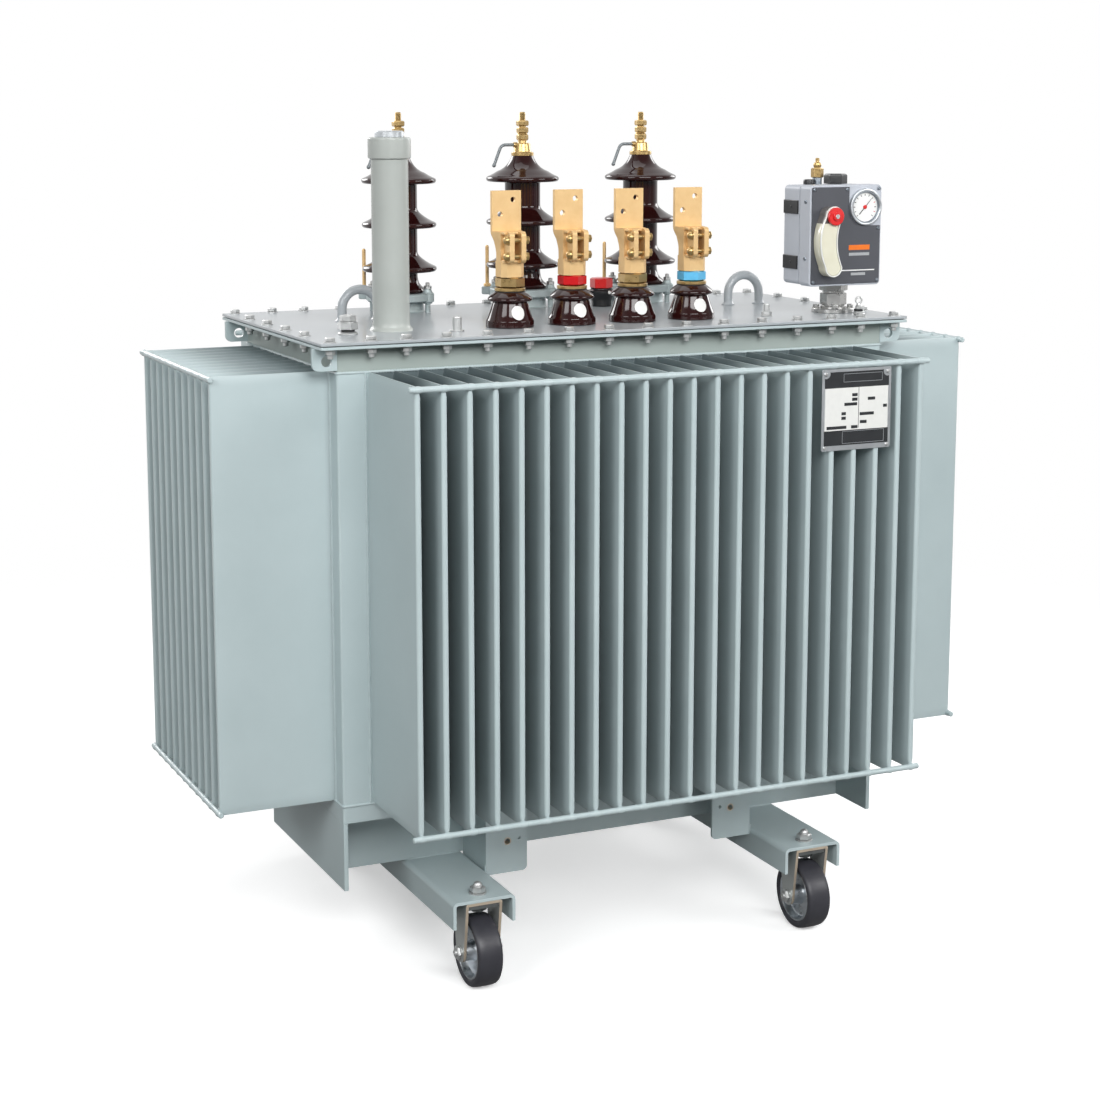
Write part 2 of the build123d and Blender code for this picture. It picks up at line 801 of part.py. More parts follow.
# Lifting eyes bent from round bar
with BuildPart() as lifting_eyes:
    for eye_x in (left_eye_inset - cover_end_x, cover_end_x - right_eye_inset):
        leg = (eye_width - eye_bar_diameter) / 2
        crown_z = cover_top_z + eye_height - eye_bar_diameter / 2
        with BuildLine() as eye_route:
            FilletPolyline(
                (eye_x - leg, eye_y, cover_top_z),
                (eye_x - leg, eye_y, crown_z),
                (eye_x + leg, eye_y, crown_z),
                (eye_x + leg, eye_y, cover_top_z),
                radius=eye_bend_radius,
            )
        with BuildSketch(Plane.XY.offset(cover_top_z)):
            with Locations((eye_x - leg, eye_y)):
                bar_section(eye_bar_diameter)
        sweep(path=eye_route.line)
save(lifting_eyes, "lifting_eyes")

# Protection relay: flanged neck, case in two halves, front plate, dial and sight chamber
relay_x = cover_end_x - relay_end_inset
relay_front_y = relay_side_inset - cover_side_y
relay_neck_x = relay_x + relay_neck_offset
relay_neck_y = relay_front_y + relay_neck_depth
relay_bottom_z = cover_top_z + relay_neck_height
relay_top_z = relay_bottom_z + relay_height
relay_middle_z = relay_bottom_z + relay_height / 2
with BuildPart() as relay_neck:
    with BuildSketch(Plane.XY.offset(cover_top_z)):
        with Locations((relay_neck_x, relay_neck_y)):
            Circle(relay_flange_diameter / 2)
    extrude(amount=relay_flange_height)
    with BuildSketch(Plane.XY.offset(cover_top_z + relay_flange_height)):
        with Locations((relay_neck_x, relay_neck_y)):
            Circle(relay_neck_diameter / 2)
    extrude(amount=relay_neck_height - relay_flange_height - relay_union_height)
    with BuildSketch(Plane.XY.offset(relay_bottom_z - relay_union_height)):
        with Locations((relay_neck_x, relay_neck_y)):
            RegularPolygon(relay_union_flats / 2, 6, major_radius=False)
    extrude(amount=relay_union_height)
save(relay_neck, "relay_neck")

dial_x = relay_x + relay_width / 2 - dial_inset
dial_z = relay_top_z - dial_drop
bezel_radius = dial_diameter / 2 + dial_bezel_width
with BuildPart() as relay_case:
    with BuildSketch(Plane.XZ.offset(-relay_front_y - relay_lid_depth)):
        with Locations((relay_x, relay_middle_z)):
            RectangleRounded(relay_width, relay_height, relay_corner_radius)
    extrude(amount=relay_lid_depth - relay_depth)
save(relay_case, "relay_case")

with BuildPart() as relay_lid:
    with BuildSketch(Plane.XZ.offset(-relay_front_y)):
        with Locations((relay_x, relay_middle_z)):
            RectangleRounded(relay_width, relay_height, relay_corner_radius)
    extrude(amount=-relay_lid_depth)
    with BuildSketch(Plane.XZ.offset(-relay_front_y)):
        with Locations((dial_x, dial_z)):
            Circle(bezel_radius)
            Circle(dial_diameter / 2, mode=Mode.SUBTRACT)
    extrude(amount=dial_bezel_depth)
save(relay_lid, "relay_lid")

with BuildPart() as relay_plate:
    with BuildSketch(Plane.XZ.offset(-relay_front_y)):
        with Locations((relay_x, relay_middle_z)):
            RectangleRounded(
                relay_width - 2 * relay_plate_margin,
                relay_height - 2 * relay_plate_margin,
                relay_corner_radius / 2,
            )
        with Locations((dial_x, dial_z)):
            Circle(bezel_radius, mode=Mode.SUBTRACT)
        with Locations((dial_x - bezel_radius, dial_z), (dial_x, dial_z - bezel_radius)):
            Rectangle(relay_width, relay_height, align=(Align.MIN, Align.MIN), mode=Mode.SUBTRACT)
    extrude(amount=relay_plate_thickness)
save(relay_plate, "relay_plate")

with BuildPart() as relay_dial:
    with BuildSketch(Plane.XZ.offset(-relay_front_y)):
        with Locations((dial_x, dial_z)):
            Circle(dial_diameter / 2)
    extrude(amount=dial_depth)
save(relay_dial, "relay_dial")

sight_x = relay_x - relay_width / 2 + sight_top_inset
sight_top_z = relay_top_z - sight_top_drop
with BuildPart() as sight_chamber:
    with BuildSketch(Plane.XZ.offset(relay_plate_thickness - relay_front_y)):
        with BuildLine():
            sight_arc = ThreePointArc(
                (sight_x, sight_top_z),
                (sight_x - sight_bow, sight_top_z - sight_length / 2),
                (sight_x, sight_top_z - sight_length),
            )
        SlotArc(sight_arc, sight_width)
    extrude(amount=sight_depth)
save(sight_chamber, "sight_chamber")

with BuildPart() as sight_cap:
    with BuildSketch(Plane.XZ.offset(relay_plate_thickness + sight_depth - relay_front_y)):
        with Locations((sight_x, sight_top_z)):
            Circle(sight_width / 2)
    extrude(amount=sight_cap_depth)
save(sight_cap, "sight_cap")

# On top of the relay: a drain valve with a hexagon at its foot, and a cable entry's hexagonal cap
relay_top_y = relay_front_y + (relay_lid_depth + relay_depth) / 2
with BuildPart() as relay_valve:
    valve_place = (relay_x - relay_width / 2 + relay_valve_inset, relay_top_y)
    with BuildSketch(Plane.XY.offset(relay_top_z)):
        with Locations(valve_place):
            RegularPolygon(relay_valve_flats / 2, 6, major_radius=False)
    extrude(amount=relay_valve_stem_height)
    with BuildSketch(Plane.XY.offset(relay_top_z + relay_valve_stem_height)):
        with Locations(valve_place):
            Circle(relay_valve_stem_diameter / 2)
    extrude(amount=relay_valve_height - relay_valve_stem_height)
save(relay_valve, "relay_valve")

with BuildPart() as relay_cap:
    with BuildSketch(Plane.XY.offset(relay_top_z)):
        with Locations((relay_x - relay_width / 2 + relay_cap_inset, relay_top_y)):
            RegularPolygon(relay_cap_flats / 2, 6, major_radius=False)
    extrude(amount=relay_cap_height)
save(relay_cap, "relay_cap")

# Tap changer's drive: a round body with a wider collar round its top, and a hexagonal cap
tap_place = (cover_end_x - tap_end_inset, cover_side_y - tap_side_inset)
with BuildPart() as tap_drive:
    with BuildSketch(Plane.XY.offset(cover_top_z)):
        with Locations(tap_place):
            Circle(tap_body_diameter / 2)
    extrude(amount=tap_body_height - tap_collar_height)
    with BuildSketch(Plane.XY.offset(cover_top_z + tap_body_height - tap_collar_height)):
        with Locations(tap_place):
            Circle(tap_collar_diameter / 2)
    extrude(amount=tap_collar_height)
save(tap_drive, "tap_drive")

with BuildPart() as tap_cap:
    with BuildSketch(Plane.XY.offset(cover_top_z + tap_body_height)):
        with Locations(tap_place):
            RegularPolygon(tap_cap_flats / 2, 6, major_radius=False)
    extrude(amount=tap_cap_height)
save(tap_cap, "tap_cap")

# Thermometer pocket with a hexagon at its foot
with BuildPart() as thermometer_pocket:
    pocket_place = (pocket_end_inset - cover_end_x, pocket_side_inset - cover_side_y)
    with BuildSketch(Plane.XY.offset(cover_top_z)):
        with Locations(pocket_place):
            RegularPolygon(pocket_hex_flats / 2, 6, major_radius=False)
    extrude(amount=pocket_hex_height)
    with BuildSketch(Plane.XY.offset(cover_top_z + pocket_hex_height)):
        with Locations(pocket_place):
            Circle(pocket_diameter / 2)
    extrude(amount=pocket_height - pocket_hex_height)
save(thermometer_pocket, "thermometer_pocket")

# Earthing studs on the cover
with BuildPart() as cover_studs:
    with BuildSketch(Plane.XY.offset(cover_top_z)):
        with Locations((left_stud_end_inset - cover_end_x, left_stud_side_inset - cover_side_y)):
            Circle(left_stud_diameter / 2)
    extrude(amount=left_stud_height)
    with BuildSketch(Plane.XY.offset(cover_top_z)):
        with Locations((cover_end_x - right_stud_end_inset, right_stud_side_inset - cover_side_y)):
            Circle(right_stud_diameter / 2)
    extrude(amount=right_stud_height)
save(cover_studs, "cover_studs")
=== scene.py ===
from math import cos, pi, radians, sin

import bpy
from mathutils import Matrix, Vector


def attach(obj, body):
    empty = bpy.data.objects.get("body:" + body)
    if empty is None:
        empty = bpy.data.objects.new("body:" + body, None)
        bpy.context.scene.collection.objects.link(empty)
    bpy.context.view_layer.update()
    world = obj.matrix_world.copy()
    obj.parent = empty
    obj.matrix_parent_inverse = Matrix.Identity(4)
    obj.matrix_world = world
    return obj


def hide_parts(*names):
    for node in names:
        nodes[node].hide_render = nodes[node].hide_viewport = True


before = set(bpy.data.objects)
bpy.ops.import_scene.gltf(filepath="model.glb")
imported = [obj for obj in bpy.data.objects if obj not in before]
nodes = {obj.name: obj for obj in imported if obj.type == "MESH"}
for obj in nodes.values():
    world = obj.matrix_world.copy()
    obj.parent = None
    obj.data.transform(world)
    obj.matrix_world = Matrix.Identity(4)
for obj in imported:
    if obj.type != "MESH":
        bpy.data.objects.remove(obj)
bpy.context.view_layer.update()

mm = 0.001
print("frame loaded:", len(nodes), "nodes")


# Working helpers, all in millimetres; a profile is a list of (radius, height) points

def clearSelection():
    if bpy.context.object and bpy.context.object.mode != "OBJECT":
        bpy.ops.object.mode_set(mode="OBJECT")
    bpy.ops.object.select_all(action="DESELECT")


def choose(piece):
    clearSelection()
    piece.select_set(True)
    bpy.context.view_layer.objects.active = piece


def editAll(piece):
    # leaves the piece in edit mode with everything selected
    choose(piece)
    bpy.ops.object.mode_set(mode="EDIT")
    bpy.ops.mesh.select_all(action="SELECT")


def outward(piece):
    # turns the faces' normals outward
    editAll(piece)
    bpy.ops.mesh.normals_make_consistent(inside=False)
    bpy.ops.object.mode_set(mode="OBJECT")
    return piece


def editNone(piece, kind):
    # nothing selected, ready to pick elements of that kind
    choose(piece)
    bpy.ops.object.mode_set(mode="EDIT")
    bpy.ops.mesh.select_mode(type=kind)
    bpy.ops.mesh.select_all(action="DESELECT")
    bpy.ops.object.mode_set(mode="OBJECT")


def pickFaces(piece, test):
    # leaves the piece in edit mode with the faces selected whose centre and normal pass the test
    editNone(piece, "FACE")
    for face in piece.data.polygons:
        face.select = test(face.center / mm, face.normal)
    bpy.ops.object.mode_set(mode="EDIT")


def pickEdges(piece, test):
    # leaves the piece in edit mode with the edges selected whose two ends pass the test
    editNone(piece, "EDGE")
    points = piece.data.vertices
    for edge in piece.data.edges:
        edge.select = test(points[edge.vertices[0]].co / mm, points[edge.vertices[1]].co / mm)
    bpy.ops.object.mode_set(mode="EDIT")


def applyPlace(piece):
    choose(piece)
    bpy.ops.object.transform_apply(location=True, rotation=True, scale=True)
    return piece


def shift(piece, offset):
    piece.location = Vector(offset) * mm
    return applyPlace(piece)


def turnAbout(piece, angle, axis, centre=(0, 0, 0)):
    shift(piece, -Vector(centre))
    piece.rotation_euler = [radians(angle) if name == axis else 0 for name in "XYZ"]
    applyPlace(piece)
    return shift(piece, centre)


def modified(piece, kind, **settings):
    # adds a modifier with its settings and applies it
    choose(piece)
    modifier = piece.modifiers.new(kind.lower(), kind)
    for name, value in settings.items():
        setattr(modifier, name, value)
    bpy.ops.object.modifier_apply(modifier=modifier.name)
    return piece


def roundEdges(piece, width, segments=2, angle=30):
    return modified(piece, "BEVEL", width=width * mm, segments=segments, limit_method="ANGLE",
                    angle_limit=radians(angle))


def roundPicked(width, segments=3):
    # rounds the edges that are selected
    bpy.ops.mesh.bevel(offset=width * mm, segments=segments, affect="EDGES")
    bpy.ops.object.mode_set(mode="OBJECT")


def block(size, at, bevel=0.0, segments=2):
    clearSelection()
    bpy.ops.mesh.primitive_cube_add(size=1, location=Vector(at) * mm)
    piece = bpy.context.object
    piece.scale = Vector(size) * mm
    applyPlace(piece)
    if bevel:
        roundEdges(piece, bevel, segments)
    return piece


def turned(profile, at=(0, 0, 0), sides=64, form="solid", axis="Z"):
    # a lathe-turned form: one circle extruded and scaled along (radius, height) points;
    # a ring ends where it began, and a tube stays open
    clearSelection()
    radius, height = profile[0]
    bpy.ops.mesh.primitive_circle_add(vertices=sides, radius=radius * mm, location=(0, 0, height * mm))
    piece = applyPlace(bpy.context.object)
    bpy.ops.object.mode_set(mode="EDIT")
    bpy.ops.mesh.select_mode(type="EDGE")
    bpy.ops.mesh.select_all(action="SELECT")
    if form == "solid":
        bpy.ops.mesh.edge_face_add()
    for nextRadius, nextHeight in profile[1:]:
        rise = (nextHeight - height) * mm
        bpy.ops.mesh.extrude_region_move(TRANSFORM_OT_translate={"value": (0, 0, rise)})
        share = nextRadius / radius
        bpy.ops.transform.resize(value=(share, share, 1), center_override=(0, 0, nextHeight * mm))
        radius, height = nextRadius, nextHeight
    bpy.ops.mesh.select_all(action="SELECT")
    if form == "ring":
        bpy.ops.mesh.remove_doubles(threshold=0.00001)
    bpy.ops.mesh.normals_make_consistent(inside=False)
    bpy.ops.object.mode_set(mode="OBJECT")
    if axis == "X":
        turnAbout(piece, 90, "Y")
    if axis == "Y":
        turnAbout(piece, 90, "X")
    return shift(piece, at)


def rod(radius, low, high, at=(0, 0, 0), sides=32, bevel=0.0, axis="Z"):
    # a round bar from low to high, its ends bevelled; along Y it runs towards the front
    profile = [(radius, low), (radius, high)]
    if bevel:
        profile = [(radius - bevel, low), (radius, low + bevel), (radius, high - bevel),
                   (radius - bevel, high)]
    return turned(profile, at, sides, axis=axis)


def hexagon(flats, low, high, at=(0, 0, 0), bevel=1.0, axis="Z"):
    # a nut or a bolt's head: six flats with the corners turned off at both ends
    corner = flats / 2 / cos(pi / 6)
    inner = flats / 2 * 0.96
    return turned([(inner, low), (corner, low + bevel), (corner, high - bevel), (inner, high)], at, 6,
                  axis=axis)


def doubled(half):
    # a ring's closed profile from one half of it, mirrored across the middle
    return half + [(radius, -height) for radius, height in reversed(half)] + half[:1]


def repeated(piece, count, step):
    return modified(piece, "ARRAY", count=count, use_relative_offset=False, use_constant_offset=True,
                    constant_offset_displace=Vector(step) * mm, use_merge_vertices=True,
                    merge_threshold=0.02 * mm)


def joined(pieces):
    clearSelection()
    for piece in pieces:
        piece.select_set(True)
    bpy.context.view_layer.objects.active = pieces[0]
    if len(pieces) > 1:
        bpy.ops.object.join()
    return bpy.context.object


def duplicated(piece, offset=(0, 0, 0)):
    choose(piece)
    bpy.ops.object.duplicate()
    return shift(bpy.context.object, offset)


def copies(piece, offsets):
    # the piece once at each offset, all in one mesh
    made = [duplicated(piece, offset) for offset in offsets]
    bpy.data.objects.remove(piece)
    return joined(made)


def mirrored(piece, axis):
    # a second piece, the mirror image through the middle
    twin = duplicated(piece)
    twin.scale = [-1 if name == axis else 1 for name in "XYZ"]
    return outward(applyPlace(twin))


def bothSides(piece, axis):
    return joined([piece, mirrored(piece, axis)])


def fourfold(piece):
    return bothSides(bothSides(piece, "X"), "Y")


def combined(piece, others, operation):
    for other in others:
        modified(piece, "BOOLEAN", operation=operation, object=other, solver="EXACT")
        bpy.data.objects.remove(other)
    return piece


def cut(piece, *cutters):
    return combined(piece, cutters, "DIFFERENCE")


def fused(piece, *others):
    return combined(piece, others, "UNION")


def common(piece, *others):
    # only what all of them share
    return combined(piece, others, "INTERSECT")


def bentBar(points, radius, bend, sides=16):
    # a bent round bar: a poly curve with rounded corners, made a mesh
    clearSelection()
    curveData = bpy.data.curves.new("bar", "CURVE")
    curveData.dimensions = "3D"
    curveData.bevel_depth = radius * mm
    curveData.bevel_resolution = sides // 4
    curveData.use_fill_caps = True
    route = [Vector(points[0])]
    for before, corner, after in zip(points, points[1:], points[2:]):
        corner = Vector(corner)
        start = corner + (Vector(before) - corner).normalized() * bend
        end = corner + (Vector(after) - corner).normalized() * bend
        for step in range(9):
            t = step / 8
            route.append(start.lerp(corner, t).lerp(corner.lerp(end, t), t))
    route.append(Vector(points[-1]))
    spline = curveData.splines.new("POLY")
    spline.points.add(len(route) - 1)
    for point, place in zip(spline.points, route):
        point.co = (*(place * mm), 1)
    bar = bpy.data.objects.new("bar", curveData)
    bpy.context.scene.collection.objects.link(bar)
    choose(bar)
    bpy.ops.object.convert(target="MESH")
    editAll(bpy.context.object)
    bpy.ops.mesh.remove_doubles(threshold=0.00001)
    return outward(bpy.context.object)


def finishPiece(piece, name, finishName, body="transformer", stands=(), angle=35):
    piece.name = name
    piece.data.name = name
    applyPlace(piece)
    bpy.ops.object.shade_smooth_by_angle(angle=radians(angle))
    # large faces keep their own normals, so that they stay flat between rounded edges
    modified(piece, "WEIGHTED_NORMAL", keep_sharp=True)
    piece.data.materials.clear()
    piece.data.materials.append(materials[finishName])
    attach(piece, body)
    if stands:
        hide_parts(*stands)
    return piece


# Materials

def linear(hexColour):
    # sRGB hex to the linear values that shader sockets take
    channels = [int(hexColour[i:i + 2], 16) / 255 for i in (1, 3, 5)]
    return tuple(c / 12.92 if c <= 0.04045 else ((c + 0.055) / 1.055) ** 2.4 for c in channels) + (1.0,)


def addNode(material, kind, inputs=None, **settings):
    node = material.node_tree.nodes.new(kind)
    for name, value in settings.items():
        setattr(node, name, value)
    for socket, value in (inputs or {}).items():
        if isinstance(value, bpy.types.NodeSocket):
            material.node_tree.links.new(value, node.inputs[socket])
        else:
            node.inputs[socket].default_value = value
    return node


def finish(name, look):
    # a surface with mottled colour, uneven gloss and a fine grain, all at real sizes
    material = bpy.data.materials.new(name)
    material.use_nodes = True
    material.node_tree.nodes.clear()
    place = addNode(material, "ShaderNodeTexCoord").outputs["Object"]
    patches = addNode(material, "ShaderNodeTexNoise",
                      {"Vector": place, "Scale": 1 / look["patch"], "Detail": 4.0, "Roughness": 0.6})
    tone = addNode(material, "ShaderNodeMix",
                   {0: patches.outputs["Fac"], 6: linear(look["dark"]), 7: linear(look["light"])},
                   data_type="RGBA")
    colour = tone.outputs[2]
    if "rolled" in look:
        # plate cut from a rolled sheet: its two wide faces, across X, are greyer than the cut edges, and
        # painted paler as painted light where they stand in the fork's shade
        surface = addNode(material, "ShaderNodeNewGeometry")
        facing = addNode(material, "ShaderNodeSeparateXYZ", {"Vector": surface.outputs["True Normal"]})
        aside = addNode(material, "ShaderNodeMath", {0: facing.outputs["X"]}, operation="ABSOLUTE")
        wide = addNode(material, "ShaderNodeMath", {0: aside.outputs[0], 1: 0.8}, operation="GREATER_THAN")
        plain = addNode(material, "ShaderNodeMix", {0: wide.outputs[0], 6: colour, 7: linear(look["rolled"])},
                        data_type="RGBA")
        colour = plain.outputs[2]
    if "recessShade" in look:
        # painted shade between the fins: the enamel darkens towards the fins' roots, within the bank's row
        # only; the plain strips beside the bank stay unshaded
        recessShade = look["recessShade"]
        apart = addNode(material, "ShaderNodeSeparateXYZ", {"Vector": place})
        reach = addNode(material, "ShaderNodeMath", {0: apart.outputs[recessShade["depthAxis"]]},
                        operation="ABSOLUTE")
        across = addNode(material, "ShaderNodeMath", {0: apart.outputs[recessShade["rowAxis"]]},
                         operation="ABSOLUTE")
        inRow = addNode(material, "ShaderNodeMath", {0: across.outputs[0], 1: recessShade["row"]},
                        operation="LESS_THAN")
        deep = addNode(material, "ShaderNodeMapRange",
                       {"Value": reach.outputs[0], "From Min": recessShade["root"], "From Max": recessShade["unshaded"],
                        "To Min": recessShade["share"], "To Max": 0.0}, interpolation_type="SMOOTHSTEP")
        shadeShare = addNode(material, "ShaderNodeMath", {0: deep.outputs["Result"], 1: inRow.outputs[0]},
                        operation="MULTIPLY")
        dark = addNode(material, "ShaderNodeMix",
                       {0: shadeShare.outputs[0], 6: colour, 7: linear(recessShade["colour"])}, data_type="RGBA")
        colour = dark.outputs[2]
    gloss = addNode(material, "ShaderNodeMapRange",
                    {"Value": patches.outputs["Fac"], "From Min": 0.3, "From Max": 0.7,
                     "To Min": look["roughness"][0], "To Max": look["roughness"][1]})
    grain = addNode(material, "ShaderNodeTexNoise",
                    {"Vector": place, "Scale": 1 / look["grain"], "Detail": 3.0, "Roughness": 0.55})
    relief = addNode(material, "ShaderNodeBump",
                     {"Height": grain.outputs["Fac"], "Strength": look["relief"], "Distance": look["depth"]})
    shader = addNode(material, "ShaderNodeBsdfPrincipled",
                     {"Base Color": colour, "Roughness": gloss.outputs["Result"],
                      "Normal": relief.outputs["Normal"], "Metallic": look.get("metallic", 0.0),
                      "Specular IOR Level": look.get("specular", 0.5),
                      "Coat Weight": look.get("coat", 0.0),
                      "Coat Roughness": look.get("coatRoughness", 0.05)})
    addNode(material, "ShaderNodeOutputMaterial", {"Surface": shader.outputs["BSDF"]})
    return material


def makeLook(dark, light, patch, roughness, grain, relief, depth, **more):
    # two sRGB colours and the size of their patches, the range of roughness, then the fine relief's grain,
    # strength and depth; sizes in millimetres
    return {"dark": dark, "light": light, "patch": patch * mm, "roughness": roughness, "grain": grain * mm,
            "relief": relief, "depth": depth * mm, **more}


looks = {
    # two-pack grey enamel sprayed on folded sheet: satin, with the faint ripple of a wet coat
    "greyEnamel": makeLook("#A9B8BA", "#B9C7C9", 180, (0.34, 0.42), 3, 0.12, 0.15, coat=0.15,
                           coatRoughness=0.2),
    # the collar and the flange's underside stay in the cover's shade, painted into this darker enamel as
    # painted shade
    "shadedEnamel": makeLook("#95A09C", "#A3AEAA", 180, (0.38, 0.46), 3, 0.12, 0.15),
    # the filler tube was sprayed on its own in a plainer grey
    "tubeEnamel": makeLook("#9FA4A0", "#ADB2AE", 90, (0.34, 0.42), 3, 0.12, 0.12, coat=0.15,
                           coatRoughness=0.2),
    # the cover has a second coat, wet and glossy, so it mirrors what stands on it
    "glossEnamel": makeLook("#A0A6AA", "#ACB2B6", 220, (0.28, 0.36), 4, 0.08, 0.12, coat=0.25,
                            coatRoughness=0.12),
    # weld beads under the same enamel
    "paintedWeld": makeLook("#A3B2B4", "#BBC9CB", 20, (0.3, 0.4), 2, 0.5, 0.3),
    # sand-cast aluminium under thin grey paint, with a coarse skin
    "castGrey": makeLook("#9AA6A8", "#AEBABB", 14, (0.42, 0.55), 1.2, 0.5, 0.15, metallic=0.3),
    # yellow passivated zinc: a pale gold with pink and green drift
    # its faces across X get a paler grey, partly painted light
    "yellowZinc": makeLook("#CFBEA9", "#E2D3BE", 18, (0.34, 0.46), 0.6, 0.1, 0.05, rolled="#C2C6C4",
                           metallic=0.7),
    # bright zinc plate on bolts and nuts: a pale cool metal with soft highlights
    "brightZinc": makeLook("#B4B6B6", "#D2D3D2", 9, (0.3, 0.42), 0.8, 0.12, 0.05, metallic=0.75),
    # machined steel left bare: grey, with wide dull highlights
    "dullSteel": makeLook("#767D85", "#959DA5", 12, (0.34, 0.48), 0.8, 0.15, 0.05, metallic=1.0),
    # sand-cast brass with a fine even grain
    "castBrass": makeLook("#D6B07A", "#E6C896", 14, (0.48, 0.58), 0.9, 0.25, 0.06, metallic=0.65),
    # brass from the lathe, browned with age: sharper highlights than the castings have
    "turnedBrass": makeLook("#A98C58", "#CBAF7C", 8, (0.26, 0.36), 1.2, 0.03, 0.02, metallic=0.9),
    # brown glaze fired on porcelain: nearly black, mirror smooth, reddish where it runs thin
    "brownGlaze": makeLook("#1E0909", "#2F100F", 30, (0.07, 0.1), 6, 0.03, 0.1, specular=0.45),
    # nuts dipped in coloured lacquer: a deep even colour under a glossy skin
    "redLacquer": makeLook("#B80A12", "#CC1018", 10, (0.14, 0.22), 2, 0.1, 0.05, coat=0.3),
    "blueLacquer": makeLook("#55AEDC", "#6CC2EC", 10, (0.14, 0.22), 2, 0.1, 0.05, coat=0.5),
    # cast polyurethane tyre, faintly shiny
    "greyTyre": makeLook("#303036", "#3A3A40", 25, (0.34, 0.46), 1.5, 0.15, 0.08),
    # zinc plate in the fork's shade, coloured dark as painted shade
    "shadedZinc": makeLook("#5E6262", "#747877", 18, (0.45, 0.55), 0.8, 0.12, 0.04, metallic=0.6),
    # pressed steel rim, plated: bright with a slight haze
    "rimSteel": makeLook("#BCC3C9", "#DDE1E5", 16, (0.24, 0.38), 1.0, 0.1, 0.05, metallic=1.0),
    # powder coat on the relay's case: matt, with a fine orange peel
    "powderCoat": makeLook("#B3B8C1", "#BEC3CB", 40, (0.42, 0.52), 0.7, 0.25, 0.05),
    # the relay's front plate: dark satin paint on sheet
    "darkPlate": makeLook("#44464C", "#4D4F56", 40, (0.42, 0.52), 0.8, 0.1, 0.03),
    # moulded rubber: nearly black and matt
    "blackRubber": makeLook("#141416", "#1E1E21", 12, (0.5, 0.62), 0.8, 0.2, 0.05),
    # moulded black plastic with a soft shine
    "blackPlastic": makeLook("#151618", "#202225", 12, (0.28, 0.4), 0.7, 0.15, 0.04),
    # moulded red plastic, glossier than the black
    "redPlastic": makeLook("#C91A1C", "#E02A2A", 12, (0.25, 0.35), 0.9, 0.08, 0.03, coat=0.3),
    # the chamber's window with pale oil behind it: cream under a clear hard skin
    "creamPlastic": makeLook("#D6D3BC", "#E2E0CE", 30, (0.16, 0.24), 2, 0.05, 0.03, coat=0.6),
    # the empty top of the sight chamber: clear plastic over the dark plate
    "smokedPlastic": makeLook("#5E5A5A", "#77736F", 20, (0.14, 0.2), 2, 0.05, 0.03, coat=0.6),
    # the rim that holds the chamber's window, clear plastic that looks nearly white
    "clearRim": makeLook("#E3E4DF", "#F0F0EC", 20, (0.12, 0.18), 2, 0.05, 0.03, coat=0.5),
    # grey print on the dark plate, flat and even
    "markGrey": makeLook("#9A9DA0", "#ADB0B3", 10, (0.4, 0.5), 1, 0.05, 0.02),
    # machined steel of the relay's neck
    "polishedSteel": makeLook("#A3A3A2", "#C6C6C4", 40, (0.24, 0.3), 4, 0.02, 0.02, metallic=0.95),
    # galvanised rod weathered to a flat grey
    "hornSteel": makeLook("#6F7578", "#84898C", 12, (0.5, 0.6), 1, 0.05, 0.03, metallic=0.5),
    # printed dial card, white and even
    "dialWhite": makeLook("#E6E7E6", "#F0F0EE", 30, (0.3, 0.4), 1, 0.03, 0.02),
    # cork bonded with rubber: coarse and dull
    "corkGasket": makeLook("#8A908B", "#9EA49D", 6, (0.7, 0.85), 1.2, 0.4, 0.1),
    # aluminium sheet, its brushing too fine to show, so only a faint drift is drawn
    "sheetSilver": makeLook("#B7BCC0", "#CDD1D4", 25, (0.3, 0.4), 0.6, 0.1, 0.02, metallic=0.8),
    # screen print on metal, flat black
    "printBlack": makeLook("#1A1C1F", "#25282B", 20, (0.4, 0.5), 1, 0.05, 0.02),
    # matt vinyl label without any print
    "whiteSticker": makeLook("#D4D5D2", "#E0E1DE", 10, (0.4, 0.5), 1, 0.05, 0.02),
    # screen print on the relay's plate, flat orange
    "orangePrint": makeLook("#E06A10", "#EC7A1C", 10, (0.4, 0.5), 1, 0.05, 0.02),
    # stack of electrical steel, dark and dull
    "coreSteel": makeLook("#50545A", "#63686F", 30, (0.5, 0.6), 1, 0.3, 0.1, metallic=0.9),
    # insulating paper on the windings, tan and fibrous
    "wrapPaper": makeLook("#A88A5E", "#BFA176", 25, (0.75, 0.85), 1.5, 0.4, 0.15),
}
# the walls' enamel, with painted shade in the recesses between the fins
looks["longWallEnamel"] = looks["greyEnamel"] | {"recessShade": {
    "depthAxis": "Y", "rowAxis": "X", "row": 0.4725, "root": 0.34, "unshaded": 0.474, "share": 0.85,
    "colour": "#3C4A4E"}}
looks["shortWallEnamel"] = looks["greyEnamel"] | {"recessShade": {
    "depthAxis": "X", "rowAxis": "Y", "row": 0.21, "root": 0.6, "unshaded": 0.733, "share": 0.7,
    "colour": "#4A595C"}}
materials = {name: finish(name, look) for name, look in looks.items()}
print("materials made:", len(materials))

# CAD nodes that stay as they are and only get their finish
keptNodes = {"tank_floor": "greyEnamel", "cover_gasket": "corkGasket", "core": "coreSteel",
             "windings": "wrapPaper"}
for nodeName, finishName in keptNodes.items():
    nodes[nodeName].data.materials.clear()
    nodes[nodeName].data.materials.append(materials[finishName])

# Tank walls: one folded sheet a side, with hollow fins pinched shut at both ends

folding = {"low": 315, "high": 1060, "thickness": 10.5, "tipRadius": 4, "rootRadius": 3,
           "pinchHeight": 18, "pinchThickness": 3, "sheet": 1.2, "cornerRadius": 4}
longBank = {"count": 22, "pitch": 45, "depth": 220.5, "face": 255, "half": 530.5}
shortBank = {"count": 11, "pitch": 42, "depth": 205.5, "face": 530.5, "half": 255}


